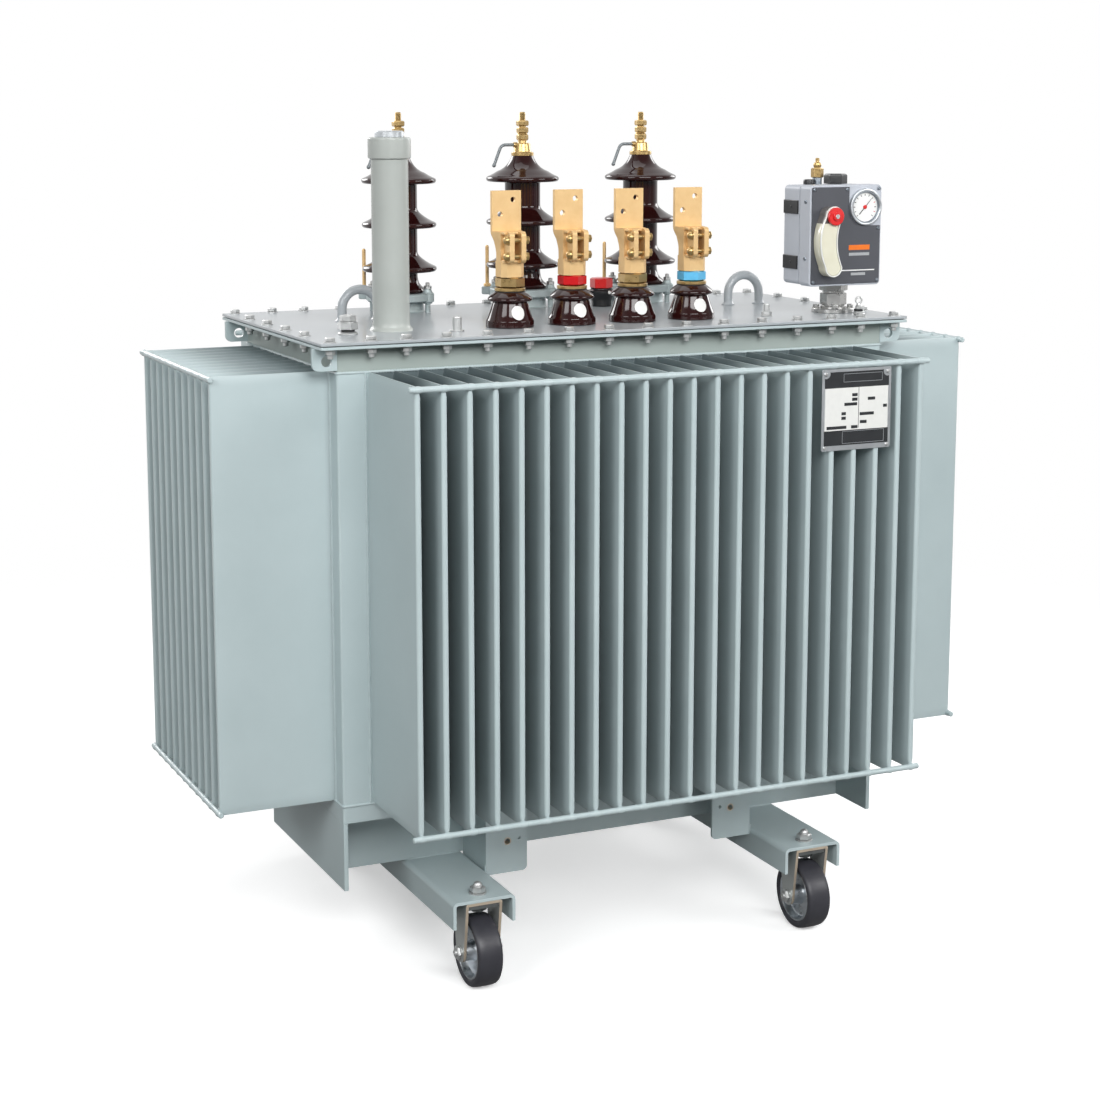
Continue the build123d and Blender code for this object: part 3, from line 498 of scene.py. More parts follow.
def foldedWall(bank):
    # one pitch of the sheet is folded edge by edge, then repeated and carried on to the tank's corners
    thickness, face, depth, pitch = folding["thickness"], bank["face"], bank["depth"], bank["pitch"]
    low = folding["low"] + folding["pinchHeight"]
    high = folding["high"] - folding["pinchHeight"]
    fin = -(bank["count"] - 1) / 2 * pitch
    left = fin - pitch / 2
    strip = (pitch - thickness) / 2
    clearSelection()
    bpy.ops.mesh.primitive_plane_add(
        size=1, location=Vector((left + strip / 2, -face, (low + high) / 2)) * mm, rotation=(pi / 2, 0, 0)
    )
    sheet = bpy.context.object
    sheet.scale = (strip * mm, (high - low) * mm, 1)
    applyPlace(sheet)
    pickEdges(sheet, lambda a, b: min(a.x, b.x) > left + strip - 0.1)
    for fold in ((0, -depth, 0), (thickness, 0, 0), (0, depth, 0), (strip, 0, 0)):
        bpy.ops.mesh.extrude_region_move(TRANSFORM_OT_translate={"value": Vector(fold) * mm})
    pickEdges(sheet, lambda a, b: max(a.y, b.y) < -face - depth + 0.1 and abs(a.z - b.z) > 1)
    roundPicked(folding["tipRadius"], 4)
    pickEdges(sheet, lambda a, b: abs(a.z - b.z) > 1 and min(a.y, b.y) > -face - 0.1
              and abs(abs(a.x - fin) - thickness / 2) < 0.1)
    roundPicked(folding["rootRadius"], 3)

    # each end of the fin is drawn out and pinched shut
    reach = thickness / 2 + folding["rootRadius"] + 0.1
    squeeze = folding["pinchThickness"] / thickness
    for edgeZ, rise in ((high, folding["pinchHeight"]), (low, -folding["pinchHeight"])):
        pickEdges(sheet, lambda a, b: abs(a.z - edgeZ) < 0.1 and abs(b.z - edgeZ) < 0.1)
        bpy.ops.mesh.extrude_region_move(TRANSFORM_OT_translate={"value": (0, 0, rise * mm)})
        endZ = edgeZ + rise
        pickEdges(sheet, lambda a, b: abs(a.z - endZ) < 0.1 and abs(b.z - endZ) < 0.1
                  and max(abs(a.x - fin), abs(b.x - fin)) < reach)
        bpy.ops.transform.resize(value=(squeeze, 1, 1), center_override=(fin * mm, -face * mm, endZ * mm))
        bpy.ops.mesh.edge_face_add()
        bpy.ops.object.mode_set(mode="OBJECT")

    repeated(sheet, bank["count"], (pitch, 0, 0))
    toCorner = bank["half"] - folding["cornerRadius"] - bank["count"] * pitch / 2
    for side in (-1, 1):
        pickEdges(sheet, lambda a, b: min(a.x * side, b.x * side) > bank["count"] * pitch / 2 - 0.1)
        bpy.ops.mesh.extrude_region_move(TRANSFORM_OT_translate={"value": (side * toCorner * mm, 0, 0)})
        bpy.ops.object.mode_set(mode="OBJECT")
    outward(sheet)
    rootFaces = [polygon for polygon in sheet.data.polygons if polygon.center.y / mm > -face - 0.1]
    if rootFaces[0].normal.y > 0:
        editAll(sheet)
        bpy.ops.mesh.flip_normals()
        bpy.ops.object.mode_set(mode="OBJECT")
    return modified(sheet, "SOLIDIFY", thickness=folding["sheet"] * mm, offset=-1)


frontWall = foldedWall(longBank)
rearWall = turnAbout(duplicated(frontWall), 180, "Z")
rightWall = turnAbout(foldedWall(shortBank), 90, "Z")
leftWall = turnAbout(duplicated(rightWall), 180, "Z")
for wall, side, enamel in ((frontWall, "Front", "longWallEnamel"), (rearWall, "Rear", "longWallEnamel"),
                           (rightWall, "Right", "shortWallEnamel"), (leftWall, "Left", "shortWallEnamel")):
    finishPiece(wall, "wall" + side, enamel, stands=[side.lower() + "_wall"])
print("folded walls made")

# Plain strips over and under the fins, with rounded corner posts between the sheets
strips = {"length": 1061, "width": 510, "skirt": (284, 315), "collar": (1060, 1102.5), "thickness": 4,
          "cornerRadius": 4}


def stripRing(low, high):
    outer = block((strips["length"], strips["width"], high - low), (0, 0, (low + high) / 2))
    pickEdges(outer, lambda a, b: abs(a.z - b.z) > 1)
    roundPicked(strips["cornerRadius"], 4)
    sheet = 2 * strips["thickness"]
    inner = block((strips["length"] - sheet, strips["width"] - sheet, high), (0, 0, (low + high) / 2))
    return roundEdges(cut(outer, inner), 0.6, 1, 60)


skirt = stripRing(*strips["skirt"])
collar = stripRing(*strips["collar"])
corner = strips["cornerRadius"]
post = rod(corner, strips["skirt"][1], strips["collar"][0],
           (strips["length"] / 2 - corner, strips["width"] / 2 - corner, 0), 24)
finishPiece(skirt, "tankSkirt", "greyEnamel", stands=["tank_skirt"])
# the collar takes the darker enamel: painted shade from the cover's overhang
finishPiece(collar, "tankCollar", "shadedEnamel", stands=["tank_collar"])
finishPiece(fourfold(post), "cornerPosts", "greyEnamel")

# Weld beads: a rippled run of overlapping drops, along the strips and down both sides of each bank
bead = {"ripple": 5, "neck": 1.9, "crest": 2.7, "sides": 8}
stay = {"radius": 5, "drop": 4, "overrun": 10, "dropRadius": 6.1, "dropLength": 15, "sides": 20}


def weldRun(start, end):
    # a bead from one point to another along X, Y or Z
    start, end = Vector(start), Vector(end)
    length = (end - start).length
    count = max(2, round(length / bead["ripple"]))
    step = length / count
    run = turned([(bead["neck"], 0), (bead["crest"], step * 0.5), (bead["neck"], step)],
                 sides=bead["sides"], form="tube")
    repeated(run, count, (0, 0, step))
    editAll(run)
    bpy.ops.mesh.fill_holes(sides=0)
    outward(run)
    along = (end - start).normalized()
    if abs(along.x) > 0.5:
        turnAbout(run, 90 * along.x, "Y")
    if abs(along.y) > 0.5:
        turnAbout(run, -90 * along.y, "X")
    return shift(run, start)


def weldsOf(bank):
    face, half = bank["face"], bank["half"]
    side = ((bank["count"] - 1) * bank["pitch"] + folding["thickness"]) / 2 + 3
    upright = bothSides(weldRun((side, -face, folding["low"]), (side, -face, folding["high"])), "X")
    level = [weldRun((-half, -face, height), (half, -face, height))
             for height in (folding["low"], folding["high"])]
    return joined([upright, *level])


frontWelds = weldsOf(longBank)
sideWelds = turnAbout(weldsOf(shortBank), 90, "Z")
welds = joined([bothSides(frontWelds, "Y"), bothSides(sideWelds, "X")])
finishPiece(welds, "tankWelds", "paintedWeld")


# Stay rods in the fins' notches, with a drop of weld at each fin
def stayRods(bank):
    outY = -bank["face"] - bank["depth"]
    half = ((bank["count"] - 1) * bank["pitch"] + folding["thickness"]) / 2 + stay["overrun"]
    first = -(bank["count"] - 1) / 2 * bank["pitch"]
    rods = []
    for height in (folding["low"] + stay["drop"], folding["high"] - stay["drop"]):
        bar = rod(stay["radius"], -half, half, (0, outY, height), stay["sides"], 1.5, "X")
        radius, reach = stay["dropRadius"], stay["dropLength"] / 2
        drop = turned([(stay["radius"] - 0.2, -reach), (radius * 0.93, -reach * 0.5), (radius, -reach * 0.15),
                       (radius, reach * 0.15), (radius * 0.93, reach * 0.5), (stay["radius"] - 0.2, reach)],
                      (first, outY, height), stay["sides"], "tube", "X")
        rods += [bar, repeated(drop, bank["count"], (bank["pitch"], 0, 0))]
    return joined(rods)


frontRods = stayRods(longBank)
sideRods = turnAbout(stayRods(shortBank), 90, "Z")
rods = joined([bothSides(frontRods, "Y"), bothSides(sideRods, "X")])
finishPiece(rods, "stayRods", "greyEnamel", stands=["stay_rods"])
print("welds and stay rods made")

# Base frame: plates under the tank, standing on two channels turned open side down
channel = {"centre": 325, "width": 115, "leg": 48, "sheet": 6, "top": 164, "half": 386, "bend": 9}
plates = {"sideX": 526.5, "front": -255, "rear": 149, "crossY": 145, "thickness": 8, "low": 164, "high": 284,
          "crossLength": 1045}


def baseChannel():
    low = channel["top"] - channel["leg"]
    outer = block((channel["width"], 2 * channel["half"], channel["leg"]),
                  (channel["centre"], 0, low + channel["leg"] / 2))
    pickEdges(outer, lambda a, b: min(a.z, b.z) > channel["top"] - 0.1 and abs(a.y - b.y) > 10)
    roundPicked(channel["bend"], 6)
    inside = channel["top"] - channel["sheet"]
    inner = block((channel["width"] - 2 * channel["sheet"], 3 * channel["half"], channel["leg"]),
                  (channel["centre"], 0, inside - channel["leg"] / 2))
    pickEdges(inner, lambda a, b: min(a.z, b.z) > inside - 0.1 and abs(a.y - b.y) > 10)
    roundPicked(channel["bend"] - channel["sheet"], 3)
    return roundEdges(cut(outer, inner), 0.7, 2, 50)


rightChannel = baseChannel()
leftChannel = mirrored(rightChannel, "X")
finishPiece(rightChannel, "channelRight", "greyEnamel", stands=["right_channel"])
finishPiece(leftChannel, "channelLeft", "greyEnamel", stands=["left_channel"])

height = plates["high"] - plates["low"]
middle = (plates["high"] + plates["low"]) / 2
sidePlate = block((plates["thickness"], plates["rear"] - plates["front"], height),
                  (plates["sideX"], (plates["front"] + plates["rear"]) / 2, middle), 1.2)
finishPiece(bothSides(sidePlate, "X"), "sidePlates", "greyEnamel", stands=["side_plates"])
crossPlate = block((plates["crossLength"], plates["thickness"], height), (0, -plates["crossY"], middle), 1.0)
finishPiece(bothSides(crossPlate, "Y"), "crossPlates", "greyEnamel", stands=["cross_plates"])

# Angle brackets: a leg back to the cross plate and a holed flange at the tank's front and rear faces
bracket = {"edge": 267.5, "width": 80, "sheet": 6, "face": -255, "low": 152, "high": 284, "leg": 106,
           "corner": 9, "hole": (225.5, 210, 7), "smallHole": (203.5, 213.5, 3)}
flangeX = bracket["edge"] - bracket["width"] / 2
flangeY = bracket["face"] + bracket["sheet"] / 2
bracketHeight = bracket["high"] - bracket["low"]
bracketZ = (bracket["high"] + bracket["low"]) / 2
angleFlange = block((bracket["width"], bracket["sheet"], bracketHeight), (flangeX, flangeY, bracketZ))
pickEdges(angleFlange, lambda a, b: max(a.x, b.x) < bracket["edge"] - bracket["width"] + 0.1
          and max(a.z, b.z) < bracket["low"] + 0.1)
roundPicked(bracket["corner"], 6)
for holeX, holeZ, radius in (bracket["hole"], bracket["smallHole"]):
    cut(angleFlange, rod(radius, -20, 20, (holeX, flangeY, holeZ), 32, axis="Y"))
roundEdges(angleFlange, 0.8, 2, 50)
legX, legY = bracket["edge"] - bracket["sheet"] / 2, bracket["face"] + (bracket["sheet"] + bracket["leg"]) / 2
angleLeg = block((bracket["sheet"], bracket["leg"] - 3, bracketHeight), (legX, legY, bracketZ), 0.8)
cornerWeld = weldRun((bracket["edge"], bracket["face"] + 1, bracket["low"] + 1),
                     (bracket["edge"], bracket["face"] + 1, channel["top"] + 8))
crossFace = -plates["crossY"] - plates["thickness"] / 2
weldHalf = channel["width"] / 2 - 10
crossWeld = weldRun((channel["centre"] - weldHalf, crossFace, channel["top"]),
                    (channel["centre"] + weldHalf, crossFace, channel["top"]))
finishPiece(fourfold(joined([angleFlange, angleLeg])), "brackets", "greyEnamel", stands=["brackets"])
finishPiece(fourfold(joined([cornerWeld, crossWeld])), "baseWelds", "paintedWeld")

# A round nut welded behind each bracket's larger hole
holeX, holeZ, radius = bracket["hole"]
weldNut = turned([(5.2, -3), (6.9, -3), (6.9, 4), (10.5, 4.5), (11, 6), (11, 11), (10, 12), (5.2, 12),
                  (5.2, -3)], sides=40, form="ring", axis="Y")
weldNut = shift(turnAbout(weldNut, 180, "Z"), (holeX, flangeY, holeZ))
finishPiece(fourfold(weldNut), "bracketNuts", "yellowZinc")
print("base frame made")

# Wheels on their forks
wheel = {"x": 325, "y": 355, "z": 62.5, "corners": {"front_left": (-1, -1), "front_right": (1, -1),
                                                    "rear_left": (-1, 1), "rear_right": (1, 1)}}
fork = {"inside": 57, "sheet": 5, "crown": 60, "end": 17, "top": 158, "bend": 6}
wheelPlaces = [(x * wheel["x"], y * wheel["y"], 0) for x, y in wheel["corners"].values()]


def forkArm(side):
    armX = side * (fork["inside"] + fork["sheet"]) / 2
    arm = block((fork["sheet"], fork["crown"], fork["top"] - wheel["z"]),
                (armX, 0, (fork["top"] + wheel["z"]) / 2))
    pickFaces(arm, lambda centre, normal: normal.z < -0.9)
    taper = 2 * fork["end"] / fork["crown"]
    bpy.ops.transform.resize(value=(1, taper, 1), center_override=(0, 0, wheel["z"] * mm))
    bpy.ops.object.mode_set(mode="OBJECT")
    end = rod(fork["end"], -fork["sheet"] / 2, fork["sheet"] / 2, (armX, 0, wheel["z"]), 48, axis="X")
    return fused(arm, end)


bentFork = fused(
    block((fork["inside"] + 2 * fork["sheet"], fork["crown"], fork["sheet"]),
          (0, 0, fork["top"] - fork["sheet"] / 2)),
    forkArm(-1), forkArm(1),
)
pickEdges(bentFork, lambda a, b: min(a.z, b.z) > fork["top"] - 0.1 and abs(a.y - b.y) > 10)
roundPicked(fork["bend"], 5)
roundEdges(bentFork, 0.5, 1, 50)
finishPiece(copies(bentFork, wheelPlaces), "wheelForks", "yellowZinc", stands=["forks"])

# Axle bolts with a washer and a nut at each end, outside the fork's arms
axle = {"radius": 6, "flats": 22, "washer": 12.5, "reach": 33.5}
reach = axle["reach"]
axleEnd = joined([
    turned([(axle["washer"] - 0.5, reach), (axle["washer"], reach + 0.5), (axle["washer"], reach + 1.5),
            (axle["washer"] - 0.5, reach + 1.9)], sides=40, axis="X"),
    hexagon(axle["flats"], reach + 1.8, reach + 8, bevel=1.6, axis="X"),
    turned([(5.4, reach + 7.9), (5.4, reach + 9.9), (4.4, reach + 10.9), (2.2, reach + 10.9),
            (1.8, reach + 10.3)],
           sides=32, axis="X"),
])
axleBolt = joined([bothSides(axleEnd, "X"),
                   rod(axle["radius"], -reach - 0.1, reach + 0.1, sides=32, axis="X")])
finishPiece(copies(shift(axleBolt, (0, 0, wheel["z"])), wheelPlaces), "axleBolts", "brightZinc",
            stands=["axle_bolts"])

# The bolt that holds each fork under the channel: washer, nut and a domed thread end
forkNut = joined([
    turned([(15, 164), (15.5, 164.5), (15.5, 166), (14.8, 166.5), (10, 166.5)], sides=48),
    hexagon(24, 166.4, 177, bevel=1.8),
    turned([(8, 176.8), (7.8, 179), (6.8, 182), (5, 184), (2.6, 185.2), (0.6, 185.5)], sides=32),
])
finishPiece(copies(forkNut, wheelPlaces), "forkNuts", "brightZinc")

# Under the crown that bolt holds a stiffening plate with its head, clear of the tyre
crownLow = fork["top"] - fork["sheet"]
stiffening = {"sheet": 8, "headFlats": 27, "head": 11}
stiffenerLow = crownLow - stiffening["sheet"]
stiffener = block((fork["inside"] - 1, fork["crown"] - 6, stiffening["sheet"]),
                  (0, 0, (crownLow + stiffenerLow) / 2), 1)
boltHead = hexagon(stiffening["headFlats"], stiffenerLow - stiffening["head"], stiffenerLow, bevel=1.4)
# plate and head are coloured dark: painted shade under the crown
finishPiece(copies(joined([stiffener, boltHead]), wheelPlaces), "forkStiffeners", "shadedZinc")

tyreProfile = doubled([(49.1, -19.5), (51, -21.8), (54, -22.5), (57.5, -22.4), (60, -21), (61.4, -18.4),
                       (62.2, -14), (62.5, -8)])
rimProfile = doubled([(6.2, -28), (14.5, -28), (16, -26.5), (16.6, -13), (19, -8.6), (26, -7.4), (37, -7.4),
                      (41, -9), (43.6, -13), (44.8, -18.6), (45.8, -20.2), (48, -20.4), (49, -19.6)])
tyre = turned(tyreProfile, sides=96, form="ring", axis="X")
rim = turned(rimProfile, sides=80, form="ring", axis="X")
for name, (x, y) in wheel["corners"].items():
    centre = (x * wheel["x"], y * wheel["y"], wheel["z"])
    word = name.title().replace("_", "")
    finishPiece(duplicated(tyre, centre), "tyre" + word, "greyTyre", "wheel_" + name, ["tyre_" + name])
    finishPiece(duplicated(rim, centre), "rim" + word, "rimSteel", "wheel_" + name, ["rim_" + name])
bpy.data.objects.remove(tyre)
bpy.data.objects.remove(rim)
print("forks and wheels made")

# Cover with its bolts: washer and head on top, nut and thread end under the flange
cover = {"length": 1136, "width": 574, "low": 1109, "high": 1114, "corner": 4, "flangeLow": 1102.5,
         "flangeSheet": 5, "opening": (1045, 494, 20)}
lid = block((cover["length"], cover["width"], cover["high"] - cover["low"]),
            (0, 0, (cover["low"] + cover["high"]) / 2))
pickEdges(lid, lambda a, b: abs(a.z - b.z) > 1)
roundPicked(cover["corner"], 4)
roundEdges(lid, 0.9, 2, 60)
finishPiece(lid, "coverPlate", "glossEnamel", stands=["cover_plate"])

flangeRing = block((cover["length"], cover["width"], cover["flangeSheet"]),
                   (0, 0, cover["flangeLow"] + cover["flangeSheet"] / 2))
pickEdges(flangeRing, lambda a, b: abs(a.z - b.z) > 1)
roundPicked(cover["corner"], 4)
cut(flangeRing, block(cover["opening"], (0, 0, cover["flangeLow"])))
finishPiece(roundEdges(flangeRing, 0.9, 2, 60), "tankFlange", "greyEnamel", stands=["tank_flange"])

coverBolt = {"flats": 15, "head": 6.4, "washer": 10.5, "thread": 5,
             "rows": (38, 114, 190, 267, 341, 413, 475, 547), "rowY": 272, "ends": (52.5, 157.5), "endX": 553}
top, under = cover["high"], cover["flangeLow"]
wide, thread = coverBolt["washer"], coverBolt["thread"]
bolt = joined([
    turned([(wide, top), (wide, top + 1.6), (wide - 0.5, top + 1.9)], sides=24),
    hexagon(coverBolt["flats"], top + 1.8, top + 1.8 + coverBolt["head"], bevel=1.0),
    turned([(wide - 0.5, under - 1.8), (wide, under - 1.4), (wide, under)], sides=24),
    hexagon(coverBolt["flats"], under - 9.6, under - 1.7, bevel=1.0),
    turned([(thread - 1, under - 16), (thread, under - 15), (thread, under - 9)], sides=20),
])
places = [(x * side, coverBolt["rowY"] * row, 0)
          for x in coverBolt["rows"] for side in (-1, 1) for row in (-1, 1)]
places += [(coverBolt["endX"] * side, y * row, 0)
           for y in coverBolt["ends"] for side in (-1, 1) for row in (-1, 1)]
finishPiece(copies(bolt, places), "coverBolts", "brightZinc")

# Pulling lugs under the flange's ends
lug = {"inner": 529, "outer": 572.5, "face": -255, "thickness": 8, "low": 1064.5, "high": 1102.5,
       "corner": 11, "hole": (547.5, 1080.5, 9)}
ear = block((lug["outer"] - lug["inner"], lug["thickness"], lug["high"] - lug["low"]),
            ((lug["outer"] + lug["inner"]) / 2, lug["face"] + lug["thickness"] / 2,
             (lug["high"] + lug["low"]) / 2))
pickEdges(ear, lambda a, b: min(a.x, b.x) > lug["outer"] - 0.1 and max(a.z, b.z) < lug["low"] + 0.1)
roundPicked(lug["corner"], 6)
holeX, holeZ, radius = lug["hole"]
cut(ear, rod(radius, -20, 20, (holeX, lug["face"], holeZ), 40, axis="Y"))
roundEdges(ear, 0.9, 2, 50)
finishPiece(fourfold(ear), "pullingLugs", "greyEnamel", stands=["pulling_lugs"])
print("cover, bolts and lugs made")

# High-voltage bushings: turret, clamping flange, porcelain with three sheds, brass cap and arcing horns
highBushing = {"places": [(-250, 190, 0), (3, 190, 0), (256, 190, 0)], "foot": 1150, "rims": (45, 127, 209),
               "core": 34, "shed": 70, "cap": 1402}


def highPorcelain():
    core, shed = highBushing["core"], highBushing["shed"]
    profile = [(42, 0), (46, 0.6), (48, 4), (46, 8.5), (41, 12), (37, 17), (core + 1, 23), (core, 30)]
    for rim in highBushing["rims"]:
        profile += [(core, rim - 9), (core + 1.5, rim - 7), (core + 6, rim - 6), (shed - 6, rim - 5.6),
                    (shed - 2.4, rim - 4.8), (shed - 0.6, rim - 2.6), (shed, rim), (shed - 0.8, rim + 2.6),
                    (shed - 3.4, rim + 4.6), (shed - 8, rim + 6.6), (shed - 14, rim + 9.6),
                    (shed - 21, rim + 14)]
        if rim < highBushing["rims"][-1]:
            profile += [(shed - 27, rim + 18.4), (shed - 32, rim + 22.8), (core + 1, rim + 27),
                        (core, rim + 31)]
    profile += [(42, 226), (35.4, 230.2), (29.6, 236), (25.4, 242), (22.6, 247.4), (20.8, 252)]
    return turned(profile, sides=96)


porcelain = shift(highPorcelain(), (0, 0, highBushing["foot"]))
finishPiece(copies(porcelain, highBushing["places"]), "highPorcelains", "brownGlaze",
            stands=["hv_porcelains"], angle=50)

# Turret welded to the cover, and a cast ring clamped by four studs
clampRing = {"ear": (75, 133, 11), "studRadius": 57, "nut": 13}
turret = turned([(47.5, 1114), (45.6, 1116), (44.5, 1119), (44.5, 1135.5)], sides=72)
ring = turned([(61.5, 1135), (63, 1136.5), (63, 1148), (61.4, 1149.6), (56, 1150), (50, 1150), (48.5, 1149)],
              sides=72)
earReach, earAngle, earRadius = clampRing["ear"]
earX, earY = earReach * cos(radians(earAngle)), earReach * sin(radians(earAngle))
earPad = rod(earRadius, 1135, 1150, (earX, earY, 0), 32, 1.2)
neck = turnAbout(block((36, 2 * earRadius, 14.6), (56, 0, 1142.5), 1.0), earAngle, "Z")
clampFeet = []
clampNuts = []
for angle in (45, 135, 225, 315):
    foot = joined([
        turned([(11.4, 1133.6), (12, 1134.4), (12, 1149), (11, 1150.4), (9, 1151.4), (7.6, 1155),
                (7, 1157.6)], sides=40),
        turned([(5.4, 1113.6), (5, 1116), (5, 1129), (8.6, 1131), (8.8, 1136)], sides=32),
    ])
    clampFeet.append(turnAbout(shift(foot, (clampRing["studRadius"], 0, 0)), angle, "Z"))
    stud = joined([
        hexagon(clampRing["nut"], 1157.4, 1164, bevel=1.0),
        turned([(3.9, 1163.8), (3.9, 1169), (3, 1170)], sides=20),
    ])
    clampNuts.append(turnAbout(shift(stud, (clampRing["studRadius"], 0, 0)), angle, "Z"))
rings = copies(joined([turret, ring, earPad, neck, *clampFeet]), highBushing["places"])
finishPiece(rings, "clampRings", "castGrey", stands=["hv_flanges"])
finishPiece(copies(joined(clampNuts), highBushing["places"]), "clampNuts", "brightZinc")

# Brass cap: lip, cone, nut, loose collar, second nut and the stud, with its thread cut
terminal = {"pitch": 1.75, "threadFoot": 66.5}
cap = turned([(20.8, 0), (21.5, 0.8), (21.5, 5.8), (20.6, 7), (17.4, 7.6), (16.6, 9), (15, 22.4), (14, 24),
              (9, 24.6), (8.4, 25.6), (8.4, 30)], sides=64)
lowerNut = hexagon(20, 29.4, 41, bevel=2.2)
looseCollar = turned([(8, 40.6), (9.6, 41.2), (9.8, 42.2), (9.4, 43), (8, 43.4)], sides=40)
upperNut = joined([hexagon(20, 43, 54.4, bevel=2.2), turned([(7, 54), (7, 57)], sides=32),
                   hexagon(21, 56.4, 67, bevel=2.0)])
threads = turned([(5.55, 0), (5.95, terminal["pitch"] / 2), (5.55, terminal["pitch"])], sides=24, form="tube")
repeated(threads, 8, (0, 0, terminal["pitch"]))
studEnd = turned([(5.2, 13.8), (5.2, 15.2), (4.2, 16.5)], sides=24)
boss = turned([(5, 12), (5, 18), (4.4, 19)], sides=32, axis="X")
boss = shift(turnAbout(boss, 180, "Z"), (0, 0, 21))
caps = joined([cap, lowerNut, looseCollar, upperNut, shift(threads, (0, 0, terminal["threadFoot"])),
               shift(studEnd, (0, 0, terminal["threadFoot"])), boss])
caps = copies(shift(caps, (0, 0, highBushing["cap"])), highBushing["places"])
finishPiece(caps, "highTerminals", "turnedBrass", stands=["hv_terminals"])

upperHorn = bentBar([(-17, 0, 1423), (-44, 0, 1423), (-59, 0, 1385)], 3, 9)
hornTip = turned([(3, 0), (3.6, 1.5), (3.8, 3.5), (3.2, 5.6), (1.8, 6.8), (0.4, 7.2)], sides=20)
hornTip = shift(turnAbout(turnAbout(hornTip, 180, "X"), 21.5, "Y"), (-58, 0, 1387.5))
finishPiece(copies(joined([upperHorn, hornTip]), highBushing["places"]), "upperHorns", "hornSteel",
            stands=["upper_horns"])

lowerHorn = joined([
    turned([(3.5, 1150), (3.5, 1226), (3, 1228.6), (1.8, 1229.8), (0.5, 1230)], (earX, earY, 0), 24),
    hexagon(12, 1150, 1156, (earX, earY, 0)),
])
finishPiece(copies(lowerHorn, highBushing["places"]), "lowerHorns", "castBrass", stands=["lower_horns"])
print("high-voltage bushings made")

# Low-voltage bushings: bell-shaped porcelain, rubber ring, brass washer, nut and a cast connector
lowBushing = {"middle": 4.5, "pitch": 120, "count": 4, "y": -158, "foot": top, "barrel": 1204, "sticker": 12,
              "stickerHeight": 27}
lowPlaces = [(lowBushing["middle"] + (number - (lowBushing["count"] - 1) / 2) * lowBushing["pitch"],
              lowBushing["y"], 0)
             for number in range(lowBushing["count"])]
bellSide = [(42.5, 11), (41.8, 12.6), (40.2, 15.4), (38.2, 20), (36.2, 26), (34, 33), (32, 39.4)]
bell = turned([(41, 0), (42.5, 1.2), *bellSide, (31, 42), (30.6, 43.4), (32, 44.6), (36, 45.4), (38.6, 46.6),
               (39.5, 48.6), (39.2, 50.6), (37.4, 53.2), (33.4, 56.8), (28.6, 60.4), (26, 62), (25.5, 63)],
              sides=80)
bell = copies(shift(bell, (0, 0, lowBushing["foot"])), lowPlaces)
finishPiece(bell, "lowPorcelains", "brownGlaze", stands=["lv_insulators"], angle=50)

# a blank round sticker on the front of each bell: a thin skin of the bell, cut round
skin = turned([(r + 0.4, z) for r, z in bellSide] + [(r - 0.6, z) for r, z in reversed(bellSide)]
              + [(bellSide[0][0] + 0.4, bellSide[0][1])], sides=160, form="ring")
sticker = common(skin, rod(lowBushing["sticker"], 20, 60, (0, 0, lowBushing["stickerHeight"]), 48, axis="Y"))
finishPiece(copies(shift(sticker, (0, 0, lowBushing["foot"])), lowPlaces), "bellStickers", "whiteSticker")

seal = turned([(25.8, 1174.5), (26.6, 1175.4), (26.6, 1176.6), (25.8, 1177.3)], sides=48)
finishPiece(copies(seal, lowPlaces), "rubberRings", "blackRubber")
washer = turned([(26, 1177.2), (27, 1178), (27, 1182), (26, 1182.8), (20, 1183)], sides=64)
finishPiece(copies(washer, lowPlaces), "lowWashers", "turnedBrass", stands=["lv_washers"])

nut = hexagon(45, 1183, 1201.8, bevel=2.4)
for number, (name, finishName, node) in enumerate((
    ("nutBrassLeft", "turnedBrass", "lv_nuts_brass"), ("nutRed", "redLacquer", "lv_nut_red"),
    ("nutBrassRight", "turnedBrass", "lv_nuts_brass"), ("nutBlue", "blueLacquer", "lv_nut_blue"),
)):
    finishPiece(duplicated(nut, lowPlaces[number]), name, finishName, stands=[node])
bpy.data.objects.remove(nut)

# Connector: a square barrel with broad chamfers, split and clamped in front, with a holed flag behind
connector = {"half": 21.5, "height": 77, "clampLow": 23, "wallFront": -9, "footFront": -19, "chamfer": 8,
             "rearChamfer": 11, "slit": 13, "ear": 9, "earCorner": 7, "reach": 36, "flagWidth": 55,
             "flagHeight": 70, "flagThickness": 8, "gusset": 40, "hole": 5, "holeStep": 12.5,
             "holeMiddle": 118.5, "closer": 5, "boltY": -28, "boltZ": (34.6, 62.6)}


